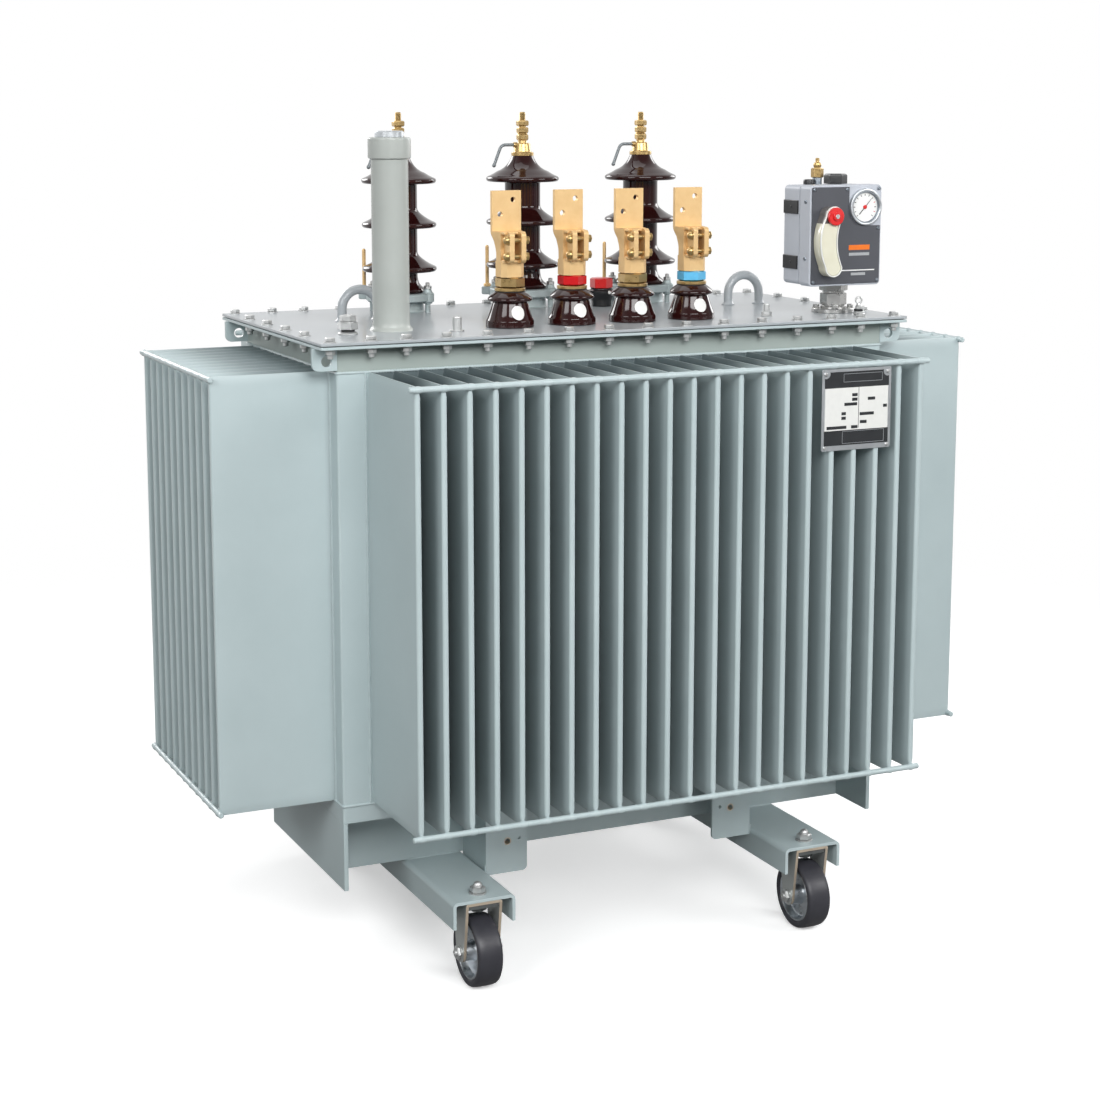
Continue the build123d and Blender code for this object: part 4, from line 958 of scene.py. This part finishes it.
def lowConnector():
    half, high, low = connector["half"], connector["height"], connector["clampLow"]
    wallFront, footFront, reach = connector["wallFront"], connector["footFront"], connector["reach"]
    body = block((2 * half, half - wallFront, high - low), (0, (half + wallFront) / 2, (high + low) / 2))
    pickEdges(body, lambda a, b: abs(a.z - b.z) > 5 and min(a.y, b.y) > 0)
    roundPicked(connector["rearChamfer"], 1)
    # its rear half widens in a curve towards the top, up to the flag's whole width
    pickEdges(body, lambda a, b: abs(a.z - b.z) > 5)
    bpy.ops.mesh.subdivide(number_cuts=12)
    bpy.ops.object.mode_set(mode="OBJECT")
    for point in body.data.vertices:
        rise = max(min((point.co.z / mm - high + connector["gusset"]) / connector["gusset"], 1), 0)
        share = rise * rise * (3 - 2 * rise)
        if point.co.y > 0:
            side = 1 if point.co.x > 0 else -1
            point.co.x += (side * connector["flagWidth"] / 2 * mm - point.co.x) * share
            flagFront = (half - connector["flagThickness"]) * mm
            if point.co.y < (half - 0.5) * mm:
                point.co.y += (flagFront - point.co.y) * share
    foot = block((2 * half, half - footFront, low + 4.4), (0, (half + footFront) / 2, low / 2 - 0.2))
    pickEdges(foot, lambda a, b: abs(a.z - b.z) > 5)
    roundPicked(connector["chamfer"], 1)
    earX = (connector["slit"] + connector["ear"]) / 2
    flagY = half - connector["flagThickness"] / 2
    flag = block((connector["flagWidth"], connector["flagThickness"], connector["flagHeight"]),
                 (0, flagY, high + connector["flagHeight"] / 2))
    clampEars = []
    for side in (-1, 1):
        clampEar = block((connector["ear"], reach, high - low), (side * earX, -reach / 2, (low + high) / 2))
        pickEdges(clampEar, lambda a, b: max(a.y, b.y) < -reach + 0.1 and abs(a.x - b.x) > 1)
        roundPicked(connector["earCorner"], 4)
        clampEars.append(clampEar)
    # a plate closes the clamp above and below
    closers = [block((2 * half - 2, reach * 0.62, connector["closer"]), (0, -reach * 0.31, height), 1.2, 2)
               for height in (high - connector["closer"] / 2, low + connector["closer"] / 2)]
    fused(body, foot, flag, *closers, *clampEars)
    slit = block((connector["slit"], 60, high - low - 2 * connector["closer"]), (0, -30, (high + low) / 2))
    pickEdges(slit, lambda a, b: abs(a.y - b.y) > 5)
    roundPicked(5, 4)
    step, middle = connector["holeStep"], connector["holeMiddle"]
    holes = [rod(connector["hole"], -30, 30, (side * step, flagY, middle + side * step), 32, axis="Y")
             for side in (-1, 1)]
    cut(body, slit, *holes)
    return roundEdges(body, 1.1, 2, 40)


connectorBody = copies(shift(lowConnector(), (0, 0, lowBushing["barrel"])), lowPlaces)
finishPiece(connectorBody, "lowConnectors", "castBrass", stands=["lv_connectors"])

clampWasher = [(8.6, 15.5), (8.6, 17.2), (8.2, 17.4)]
clampBolt = joined([
    rod(4, -16, 16, sides=20, axis="X"),
    turned(clampWasher, sides=32, axis="X"),
    turnAbout(turned(clampWasher, sides=32, axis="X"), 180, "Z"),
    hexagon(13, 17.2, 23, bevel=1.2, axis="X"),
    turnAbout(turned([(7.4, 17.2), (7.2, 19), (6.2, 21.2), (4.4, 22.8), (2, 23.6), (0.5, 23.7)],
                     sides=32, axis="X"), 180, "Z"),
])
pair = copies(clampBolt,
              [(0, connector["boltY"], lowBushing["barrel"] + height) for height in connector["boltZ"]])
finishPiece(copies(pair, lowPlaces), "clampBolts", "turnedBrass")
print("low-voltage bushings made")

# Filler tube with a flared weld at its foot, and its cap with a bright disc on top
filler = {"foot": (-385, -125, top), "rim": (-385, -125, 1410), "radius": 32}
tube = turned([(38, 0), (37.6, 1.6), (36, 3.6), (34, 6), (32.8, 9.4), (32.2, 14), (filler["radius"], 20),
               (filler["radius"], 296)], sides=80)
finishPiece(shift(tube, filler["foot"]), "fillerTube", "tubeEnamel", stands=["filler_tube"])
capCollar = turned([(34, -2), (36, -1.6), (37, 0), (37, 30), (36.2, 32.6), (34.4, 34), (26, 34.2)], sides=80)
finishPiece(shift(capCollar, filler["rim"]), "fillerCap", "tubeEnamel", stands=["filler_cap"])
disc = turned([(24, 34), (25, 35), (25, 43), (24, 44.4), (22, 45), (12, 44.6), (11, 43.8)], sides=64)
finishPiece(shift(disc, filler["rim"]), "fillerDisc", "sheetSilver")

# Lifting eyes: bent round bar, each leg welded to the cover
eye = {"places": [(-380, 50, top), (412, 50, top)], "bar": 8.5, "leg": 34, "spring": 23}
arch = [(-eye["leg"] * cos(radians(angle)), 0, eye["spring"] + eye["leg"] * sin(radians(angle)))
        for angle in range(0, 181, 15)]
hoop = bentBar([(-eye["leg"], 0, 2), *arch, (eye["leg"], 0, 2)], eye["bar"], 3, 24)
finishPiece(copies(hoop, eye["places"]), "liftingEyes", "glossEnamel", stands=["lifting_eyes"])
legPlaces = [(x + side * eye["leg"], y, z) for x, y, z in eye["places"] for side in (-1, 1)]
eyeWeld = turned([(12.6, 0), (13, 0.4), (13, 1.2), (11.4, 2.2), (9.8, 4.2), (8.8, 6.6)], sides=48)
finishPiece(copies(eyeWeld, legPlaces), "eyeWelds", "glossEnamel")

# Tap changer's drive: a black bell with a red hexagonal cap and a white dot
tap = {"at": (142, 129, top)}
tapBell = turned([(18.4, 0), (19, 0.8), (19.6, 9), (21, 15), (24.4, 21), (27.4, 25), (28.4, 27.4),
                  (28.4, 29.6), (27.4, 31), (22, 32), (20.6, 33), (20.4, 34.4)], sides=64)
finishPiece(shift(tapBell, tap["at"]), "tapBell", "blackPlastic", stands=["tap_drive"])
tapHead = hexagon(38, 34, 55, bevel=2.2)
finishPiece(shift(tapHead, tap["at"]), "tapHead", "redPlastic", stands=["tap_cap"])
tapDot = turnAbout(rod(3.4, 27.6, 28.8, (0, 0, 28.4), 24, axis="Y"), 8, "Z")
finishPiece(shift(tapDot, tap["at"]), "tapDot", "whiteSticker")

# Small fittings on the cover: thermometer pocket, two studs and a vent valve by the relay
fittings = {"pocket": (-477, -161, top), "leftStud": (-289, -190, top), "rightStud": (329, -182, top),
            "vent": (500, -226, top)}
pocket = joined([
    turned([(16.4, 0), (17, 0.5), (17, 2.2), (16, 3.2), (13, 4.8), (9, 5.2)], sides=48),
    hexagon(31, 8.2, 21.4, bevel=1.2),
    turned([(14.6, 21), (14.6, 22.4)], sides=40),
    hexagon(25, 22, 32.6, bevel=1.2),
    turned([(8, 32), (8, 33.2), (7, 33.6), (6.6, 32.8), (1, 32.7)], sides=40),
])
finishPiece(shift(pocket, fittings["pocket"]), "thermometerPocket", "brightZinc",
            stands=["thermometer_pocket"])
pocketSeal = turned([(10, 4), (11.8, 5.2), (11.8, 7.8), (10, 8.6)], sides=40)
finishPiece(shift(pocketSeal, fittings["pocket"]), "pocketSeal", "blackRubber")

leftStud = shift(joined([
    turned([(12, 0), (12.6, 0.6), (12.6, 2), (12, 2.6)], sides=40),
    turned([(7.4, 2), (8, 3), (8, 23), (7.2, 25), (5, 26)], sides=40),
]), fittings["leftStud"])
rightStud = shift(joined([
    turned([(10, 0), (10.6, 0.6), (10.6, 2), (10, 2.6)], sides=40),
    hexagon(17, 2.4, 9, bevel=1.2),
    turned([(5.4, 9), (6, 10), (6, 21.5), (5, 23.4), (3, 24)], sides=32),
]), fittings["rightStud"])
finishPiece(joined([leftStud, rightStud]), "coverStuds", "brightZinc", stands=["cover_studs"])

clearSelection()
bpy.ops.mesh.primitive_torus_add(major_radius=5.6 * mm, minor_radius=1.7 * mm, major_segments=40,
                                 minor_segments=12, location=(0, 0, 27 * mm),
                                 rotation=(radians(90), 0, radians(-20)))
ventRing = applyPlace(bpy.context.object)
ventBase = shift(joined([
    ventRing,
    hexagon(17, 0, 7, bevel=1.2),
    turned([(5.6, 10), (6, 11), (6, 16), (4.4, 17.4), (3.6, 20), (3.6, 22)], sides=32),
]), fittings["vent"])
finishPiece(ventBase, "ventValve", "brightZinc")
ventCollar = turned([(8, 6.8), (8.6, 7.4), (8.6, 10), (7.8, 10.8)], sides=40)
finishPiece(shift(ventCollar, fittings["vent"]), "ventCollar", "blackPlastic")
print("fittings on the cover made")

# Protection relay: neck with a union, case and lid, front plate, dial and sight chamber
relay = {"left": 398, "right": 552, "front": -215, "seam": -179, "rear": -117, "low": 1168, "high": 1353,
         "neck": (487, -158, top), "dial": (515, 1312), "boss": 34, "plateInset": 3.4, "corner": 8,
         "sight": (434.5, 1297.5), "sightRadius": 18, "sightDepth": 26, "sightDrop": 93, "sightBow": 11,
         "sightLevel": 13, "latches": (1312, 1210), "sideScrews": (1323, 1219)}
relayX = (relay["left"] + relay["right"]) / 2
relayZ = (relay["low"] + relay["high"]) / 2
relayWidth = relay["right"] - relay["left"]
relayHeight = relay["high"] - relay["low"]


def relayShell(frontY, rearY, shrink, rounding):
    shell = block((relayWidth - 2 * shrink, rearY - frontY, relayHeight - 2 * shrink),
                  (relayX, (frontY + rearY) / 2, relayZ))
    pickEdges(shell, lambda a, b: abs(a.y - b.y) > 5)
    roundPicked(relay["corner"], 6)
    return roundEdges(shell, rounding, 3, 50)


finishPiece(relayShell(relay["seam"] + 4, relay["rear"] - 4, 1.4, 2.2), "relayCase", "powderCoat",
            stands=["relay_case"])
lidShell = relayShell(relay["front"], relay["seam"], 0, 1.8)
seamLip = relayShell(relay["seam"] - 0.2, relay["seam"] + 4.2, 3.4, 0.3)
finishPiece(lidShell, "relayLid", "powderCoat", stands=["relay_lid"])
finishPiece(seamLip, "relaySeam", "blackRubber")

facePlate = block((relayWidth - 2 * relay["plateInset"], 2.2, relayHeight - 2 * relay["plateInset"]),
                  (relayX, relay["front"] - 0.9, relayZ))
pickEdges(facePlate, lambda a, b: abs(a.y - b.y) > 1)
roundPicked(4, 4)
dialX, dialZ = relay["dial"]
dialPlace = (dialX, relay["front"], dialZ)
# the plate leaves the corner with the dial free
dialCorner = block((200, 20, 200), (dialX + 100 - relay["boss"], relay["front"], dialZ + 100 - relay["boss"]))
pickEdges(dialCorner, lambda a, b: abs(a.y - b.y) > 1 and a.x < dialX and a.z < dialZ)
roundPicked(relay["boss"] - 2, 16)
cut(facePlate, dialCorner)
finishPiece(roundEdges(facePlate, 0.5, 2, 50), "relayFace", "darkPlate", stands=["relay_plate"])

bezel = turned([(34, -0.5), (34, 5.4), (33.4, 7), (32, 7.6), (30, 7.4), (29, 6.6), (28.4, 5.4), (28.2, -0.5),
                (34, -0.5)], sides=96, form="ring", axis="Y")
finishPiece(shift(bezel, dialPlace), "dialBezel", "sheetSilver")
glassRing = turned([(28.6, 0), (28.6, 5.6), (27.8, 5.8), (27, 5.2), (27, 0), (28.6, 0)], sides=96,
                   form="ring", axis="Y")
finishPiece(shift(glassRing, dialPlace), "dialRing", "dullSteel")
dialFace = turned([(27.6, 0), (27.6, 1.0), (27.3, 1.2)], sides=96, axis="Y")
finishPiece(shift(dialFace, dialPlace), "dialFace", "dialWhite", stands=["relay_dial"])
tickY = relay["front"] - 1.3
tick = block((1.2, 0.4, 3.4), (0, 0, 22.4))
redTicks, darkTicks = [], []
for number in range(13):
    angle = -135 + number * 22.5
    mark = turnAbout(duplicated(tick), angle, "Y")
    (redTicks if number in (9, 11) else darkTicks).append(shift(mark, (dialX, tickY, dialZ)))
bpy.data.objects.remove(tick)
finishPiece(joined(darkTicks), "dialTicks", "printBlack")
finishPiece(joined(redTicks), "dialLimits", "redPlastic")
pointer = block((1.8, 0.5, 38), (0, 0, 1))
pickFaces(pointer, lambda centre, normal: normal.z > 0.9)
bpy.ops.transform.resize(value=(0.3, 1, 1), center_override=(0, 0, 0))
bpy.ops.object.mode_set(mode="OBJECT")
pointer = shift(turnAbout(pointer, 42, "Y"), (dialX, tickY - 0.8, dialZ))
finishPiece(pointer, "dialPointer", "printBlack")
hub = turned([(3.8, 1), (3.8, 2.8), (3, 3.6), (1, 3.8)], sides=32, axis="Y")
finishPiece(shift(hub, dialPlace), "dialHub", "redPlastic")

# Sight chamber: a long body bowed to one side, a clear rim round its front, dark and empty at the top
sightX, sightZ = relay["sight"]
sightPlace = (sightX, relay["front"], sightZ)
halfDrop = relay["sightDrop"] / 2


def bowedForm(radius, near, far):
    # a form with round ends, bowed to -X, from near to far in front of the relay's face
    clearSelection()
    bpy.ops.mesh.primitive_circle_add(vertices=64, radius=radius * mm, rotation=(radians(90), 0, 0))
    form = turnAbout(applyPlace(bpy.context.object), 180 / 64, "Y")
    for point in form.data.vertices:
        if point.co.z < 0:
            point.co.z -= relay["sightDrop"] * mm
    pickEdges(form, lambda a, b: abs(a.z - b.z) > halfDrop)
    bpy.ops.mesh.subdivide(number_cuts=24)
    bpy.ops.object.mode_set(mode="OBJECT")
    for point in form.data.vertices:
        share = (point.co.z / mm + halfDrop) / halfDrop
        point.co.x -= relay["sightBow"] * max(1 - share * share, 0) * mm
    editAll(form)
    bpy.ops.mesh.edge_face_add()
    bpy.ops.mesh.extrude_region_move(TRANSFORM_OT_translate={"value": (0, (near - far) * mm, 0)})
    return shift(outward(form), (sightX, relay["front"] - near, sightZ))


def slicedAt(piece, height, above):
    # the piece cut level at a height, keeping what is above or below, with the cut closed
    editAll(piece)
    bpy.ops.mesh.bisect(plane_co=(0, 0, height * mm), plane_no=(0, 0, 1), use_fill=True, clear_inner=above,
                        clear_outer=not above)
    bpy.ops.object.mode_set(mode="OBJECT")
    return piece


sightFront = relay["sightDepth"] + 2
level = sightZ - relay["sightLevel"]
radius = relay["sightRadius"]
body = joined([roundEdges(bowedForm(radius, 2, sightFront - 6), 1.2, 3, 60),
               bowedForm(radius - 1.6, sightFront - 6.4, sightFront - 4)])
smoked = slicedAt(duplicated(body), level, True)
window = bowedForm(radius - 3, sightFront - 4.2, sightFront - 1.2)
window = slicedAt(roundEdges(window, 0.8, 2, 60), level, False)
finishPiece(joined([slicedAt(body, level, False), window]), "sightChamber", "creamPlastic",
            stands=["sight_chamber"])
finishPiece(smoked, "sightTop", "smokedPlastic")
rim = cut(bowedForm(radius, sightFront - 4.2, sightFront),
          bowedForm(radius - 2.2, sightFront - 8, sightFront + 4))
finishPiece(roundEdges(rim, 0.7, 2, 60), "sightRim", "clearRim")
sightCap = joined([
    turned([(15, sightFront - 0.4), (16.4, sightFront + 0.4), (16.4, sightFront + 4.6),
            (15.6, sightFront + 5.6), (8, sightFront + 5.8)], sides=56, axis="Y"),
    turned([(7.6, sightFront + 5.6), (7.6, sightFront + 8.4), (6.8, sightFront + 9.2), (4, sightFront + 9.2)],
           sides=32, axis="Y"),
])
finishPiece(shift(sightCap, sightPlace), "sightCap", "redPlastic", stands=["sight_cap"])
capScrew = turned([(4.2, sightFront + 9), (4.2, sightFront + 9.8), (3.6, sightFront + 10.4),
                   (1.4, sightFront + 10.4), (1.2, sightFront + 9.8), (0.4, sightFront + 9.7)],
                  sides=24, axis="Y")
finishPiece(shift(capScrew, sightPlace), "capScrew", "brightZinc")

# Neck: flange disc with bolts, tube, and a hexagonal union in two halves
neckTube = joined([
    turned([(39, 0), (40, 0.8), (40, 7), (39.2, 8), (24, 8)], sides=80),
    turned([(24, 7.6), (24, 11), (21, 12.4), (21, 14)], sides=64),
    hexagon(43, 13, 37, bevel=1.8),
    turned([(20.6, 36), (20.6, 41)], sides=56),
    hexagon(46, 40, 53.6, bevel=1.8),
    turned([(21, 53), (21, 54.4)], sides=56),
])
neckBolts = copies(joined([
    turned([(6.4, 8), (6.8, 8.4), (6.8, 9.4), (6.4, 9.8)], sides=24),
    hexagon(10, 9.6, 15, bevel=0.8),
]), [(32 * cos(radians(angle)), 32 * sin(radians(angle)), 0) for angle in (65, 155, 245, 335)])
finishPiece(shift(joined([neckTube, neckBolts]), relay["neck"]), "relayNeck", "polishedSteel",
            stands=["relay_neck"])

# Drain valve, cable entry and a small plug on top of the relay
roof = relay["high"]
topPlaces = {"valve": (453, -148, roof), "entry": (493, -148, roof), "plug": (436, -148, roof)}
valve = joined([
    hexagon(20.4, 11.6, 29.6, bevel=1.6),
    turned([(6.4, 29), (6.4, 31), (7.4, 32.4), (7.6, 36), (6.6, 38.6), (4.2, 40), (3.8, 41), (3.8, 47),
            (3, 48)], sides=40),
])
finishPiece(shift(valve, topPlaces["valve"]), "drainValve", "turnedBrass", stands=["relay_valve"])
valveFoot = turned([(8.6, -0.4), (8.6, 10.8), (7.8, 12)], sides=40)
finishPiece(shift(valveFoot, topPlaces["valve"]), "valveFoot", "dullSteel")
entry = turned([(21.4, 0), (21.9, 0.6), (21.9, 15), (20.4, 17.4), (18, 18.4)], sides=6)
finishPiece(shift(entry, topPlaces["entry"]), "cableEntry", "blackPlastic", stands=["relay_cap"])
plug = turned([(11, -0.4), (11, 6.4), (9.6, 8.6), (5, 9)], topPlaces["plug"], 48)
latches = [block((4, 50, 25), (relay["left"] + 0.6, -147.4, z), 1.2, 3) for z in relay["latches"]]
clips = [block((2, 5, 5), (relay["left"] - 1.2, -150, z), 0.8, 2) for z in relay["latches"]]
finishPiece(joined([plug, *latches, *clips]), "relayLatches", "blackPlastic")

screw = turned([(3.2, 0), (3.2, 1), (2.6, 1.8), (1.6, 2.2), (1.4, 1.6), (0.4, 1.5)], sides=32, axis="Y")
screwPlaces = [(relay["left"] + 8, 0, relay["low"] + 8), (relay["right"] - 8, 0, relay["low"] + 9),
               (relay["left"] + 8, 0, relay["high"] - 8), (dialX - relay["boss"] - 5, 0, relay["high"] - 8),
               (relay["right"] - 8, 0, dialZ - relay["boss"] - 5), (relay["right"] - 7, 0, relay["high"] - 7)]
faceScrews = shift(copies(screw, screwPlaces), (0, relay["front"] - 1.8, 0))
sideScrew = turned([(4, 0), (4, 0.8), (3.4, 1.8), (2.2, 2.2), (2, 1.2), (0.5, 1.1)], sides=28, axis="X")
sideScrew = turnAbout(sideScrew, 180, "Z")
sideScrews = copies(sideScrew, [(relay["left"] + 0.3, -200, z) for z in relay["sideScrews"]])
finishPiece(joined([faceScrews, sideScrews]), "relayScrews", "dullSteel")
print("relay made")

# Plates: the rating plate on the front fins and the relay's printed marks, both without any lettering
rating = {"left": 269, "right": 409, "low": 908, "high": 1050, "y": -476.4}
plateX, plateZ = (rating["left"] + rating["right"]) / 2, (rating["low"] + rating["high"]) / 2
plateWidth, plateHeight = rating["right"] - rating["left"], rating["high"] - rating["low"]
plate = block((plateWidth, 1.6, plateHeight), (plateX, rating["y"], plateZ))
pickEdges(plate, lambda a, b: abs(a.y - b.y) > 1)
roundPicked(3.5, 4)
finishPiece(roundEdges(plate, 0.3, 1, 50), "ratingPlate", "sheetSilver")


def printed(x, z, width, height, y, depth=0.5):
    return block((width, depth, height), (x, y, z), 0.1, 1)


plateFace = rating["y"] - 0.9
panel = printed(plateX, plateZ + 1.5, plateWidth - 12, 75, plateFace + 0.05, 0.3)
finishPiece(panel, "ratingPanel", "whiteSticker")
# header, footer and upright lines, then level lines, then plain dark fields where the real plate has words
bars = [printed(*bar, plateFace) for bar in (
    (plateX, rating["high"] - 19, plateWidth - 10, 28), (plateX, rating["low"] + 22, plateWidth - 10, 26),
    (rating["left"] + 6.4, plateZ + 1.5, 2.2, 76), (rating["right"] - 6.4, plateZ + 1.5, 2.2, 76),
    (plateX + 4, plateZ + 3, 1.0, 72),
)]
for number in range(11):
    bars.append(printed(plateX, rating["high"] - 40 - number * 6.6, plateWidth - 14, 1.1, plateFace))
for side, offset, z, width in (("left", 66, 46, 11), ("left", 66, 70, 11), ("left", 58, 62, 26),
                               ("left", 100, 54, 15), ("left", 12, 64, 8), ("right", -12, 68, 8),
                               ("left", 44, 86, 9), ("left", 84, 94, 14), ("left", 66, 102, 13),
                               ("left", 91, 80, 29), ("left", 66, 54, 11), ("right", -12, 90, 9),
                               ("left", 44, 78, 9), ("left", 30, 102, 40), ("right", -13, 50, 14)):
    bars.append(printed(rating[side] + offset, rating["high"] - z, width, 5.4, plateFace, 0.55))
dark = joined(bars)
cornerRounds = [rod(8, -3, 3, (x, plateFace, rating["high"] - 8), 32, axis="Y")
                for x in (rating["left"] + 8, rating["right"] - 8)]
finishPiece(cut(dark, *cornerRounds), "ratingPrint", "printBlack")
frameLines = [printed(*line, plateFace - 0.3) for line in (
    (plateX + 12, rating["high"] - 9, 78, 0.7), (plateX + 12, rating["high"] - 23, 78, 0.7),
    (plateX - 27, rating["high"] - 16, 0.7, 14.7), (plateX + 51, rating["high"] - 16, 0.7, 14.7),
    (plateX + 14, rating["low"] + 33, 84, 0.7), (plateX + 14, rating["low"] + 12, 84, 0.7),
    (plateX - 28, rating["low"] + 22.5, 0.7, 21.7), (plateX + 56, rating["low"] + 22.5, 0.7, 21.7),
)]
finishPiece(joined(frameLines), "ratingLines", "sheetSilver")
plateScrew = turned([(3.6, 0), (3.6, 1), (2.6, 2), (0.6, 2.3)], sides=24, axis="Y")
plateScrews = copies(plateScrew, [(x, plateFace + 0.2, z) for x in (rating["left"] + 7, rating["right"] - 7)
                                  for z in (rating["low"] + 5.5, rating["high"] - 8)])
finishPiece(plateScrews, "ratingScrews", "brightZinc")

relayFaceY = relay["front"] - 2.2
finishPiece(printed(504, 1238, 45, 9.2, relayFaceY, 0.4), "relayMarkOrange", "orangePrint")
greyMarks = [printed(504, 1225.6, 44, 5.4, relayFaceY, 0.4), printed(502.6, 1189, 31, 5, relayFaceY, 0.4)]
finishPiece(joined(greyMarks), "relayMarksGrey", "markGrey")
finishPiece(printed(500, 1196, 76, 2.0, relayFaceY, 0.4), "relayMarkWhite", "dialWhite")
print("plates made")

# Camera, floor and light; the camera was solved from points on the cover, fins, wheels and bushings
camera = bpy.data.objects.new("camera", bpy.data.cameras.new("camera"))
bpy.context.scene.collection.objects.link(camera)
camera.location = (-1.68686, -3.627415, 1.500361)
camera.rotation_euler = (radians(80.904), radians(0.0), radians(-24.601))
camera.data.lens = 70.78
camera.data.sensor_width = 36
camera.data.shift_y = -0.0909
bpy.context.scene.camera = camera

# in metres; the floor fades out between two distances, and the sky lights far less than it shows
room = {"floor": 10, "fade": (1.3, 3.2), "skyLight": 0.17, "dimSide": 0.3, "lamps": [
    # a broad soft box in front, one on the left, one on the right, a weak one overhead and two behind
    {"at": (-0.7, -4.5, 3.2), "size": (3.2, 1.8), "power": 185, "aim": (0, 0, 0.6)},
    {"at": (-4.0, -2.6, 2.9), "size": (2.0, 2.0), "power": 88, "aim": (0, 0, 0.6)},
    {"at": (3.0, -3.2, 2.6), "size": (1.8, 1.8), "power": 65, "aim": (0, 0, 0.7)},
    {"at": (-0.2, 0.6, 4.2), "size": (2.4, 2.4), "power": 22, "aim": (0, 0, 1.1)},
    {"at": (-1.6, 4.6, 2.9), "size": (2.6, 2.0), "power": 120, "aim": (0, 0, 0.6)},
    {"at": (4.2, 1.6, 2.4), "size": (2.0, 2.0), "power": 70, "aim": (0, 0, 0.6)},
]}
for number, lamp in enumerate(room["lamps"]):
    light = bpy.data.lights.new(f"softBox{number}", "AREA")
    light.shape = "RECTANGLE"
    light.size, light.size_y = lamp["size"]
    light.energy = lamp["power"]
    holder = bpy.data.objects.new(light.name, light)
    bpy.context.scene.collection.objects.link(holder)
    holder.location = lamp["at"]
    holder.rotation_euler = (Vector(lamp["aim"]) - Vector(lamp["at"])).to_track_quat("-Z", "Y").to_euler()

world = bpy.data.worlds.new("studio")
bpy.context.scene.world = world
world.use_nodes = True
world.node_tree.nodes.clear()
path = addNode(world, "ShaderNodeLightPath")
through = addNode(world, "ShaderNodeMath",
                  {0: path.outputs["Is Glossy Ray"], 1: path.outputs["Is Transmission Ray"]},
                  operation="MAXIMUM")
# a mirrored ray meets the white backdrop behind the object, or the dimmer room on the camera's side
skyPlace = addNode(world, "ShaderNodeTexCoord")
heading = addNode(world, "ShaderNodeSeparateXYZ", {"Vector": skyPlace.outputs["Generated"]})
backdrop = addNode(world, "ShaderNodeMapRange",
                   {"Value": heading.outputs["Y"], "From Min": -0.45, "From Max": 0.25,
                    "To Min": room["dimSide"], "To Max": 1.0})
mirroredSky = addNode(world, "ShaderNodeMath", {0: through.outputs[0], 1: backdrop.outputs["Result"]},
                      operation="MULTIPLY")
brighter = addNode(world, "ShaderNodeMath", {0: path.outputs["Is Camera Ray"], 1: mirroredSky.outputs[0]},
                   operation="MAXIMUM")
strength = addNode(world, "ShaderNodeMath", {0: brighter.outputs[0], 1: room["skyLight"]},
                    operation="MAXIMUM")
sky = addNode(world, "ShaderNodeBackground", {"Color": (1, 1, 1, 1), "Strength": strength.outputs[0]})
addNode(world, "ShaderNodeOutputWorld", {"Surface": sky.outputs["Background"]})

clearSelection()
bpy.ops.mesh.primitive_plane_add(size=room["floor"], location=(0, 0, 0))
floor = bpy.context.object
floor.name = "floor"
# the camera sees a white floor with the shadow on it; other rays meet a grey one, which throws little back
floorPaint = bpy.data.materials.new("paleFloor")
floorPaint.use_nodes = True
floorPaint.node_tree.nodes.clear()
floorPath = addNode(floorPaint, "ShaderNodeLightPath")
greyShade = addNode(floorPaint, "ShaderNodeBsdfDiffuse", {"Color": (0.3, 0.3, 0.3, 1)})
whiteShade = addNode(floorPaint, "ShaderNodeBsdfDiffuse", {"Color": (0.9, 0.9, 0.9, 1)})
whiteGlow = addNode(floorPaint, "ShaderNodeEmission", {"Color": (1, 1, 1, 1), "Strength": 0.4})
seenShade = addNode(floorPaint, "ShaderNodeAddShader",
                    {0: whiteShade.outputs["BSDF"], 1: whiteGlow.outputs["Emission"]})
floorShade = addNode(floorPaint, "ShaderNodeMixShader",
                     {0: floorPath.outputs["Is Camera Ray"], 1: greyShade.outputs["BSDF"],
                      2: seenShade.outputs[0]})
# it thins out into the white room, so that no horizon shows
floorPlace = addNode(floorPaint, "ShaderNodeTexCoord")
away = addNode(floorPaint, "ShaderNodeVectorMath", {0: floorPlace.outputs["Object"]}, operation="LENGTH")
floorFade = addNode(floorPaint, "ShaderNodeMapRange",
                    {"Value": away.outputs["Value"], "From Min": room["fade"][0],
                     "From Max": room["fade"][1]},
                    interpolation_type="SMOOTHSTEP")
clear = addNode(floorPaint, "ShaderNodeBsdfTransparent")
fadingFloor = addNode(floorPaint, "ShaderNodeMixShader",
                      {0: floorFade.outputs["Result"], 1: floorShade.outputs[0], 2: clear.outputs["BSDF"]})
addNode(floorPaint, "ShaderNodeOutputMaterial", {"Surface": fadingFloor.outputs[0]})
floor.data.materials.append(floorPaint)

bpy.context.scene.view_settings.view_transform = "Standard"
print("camera, floor and light set")
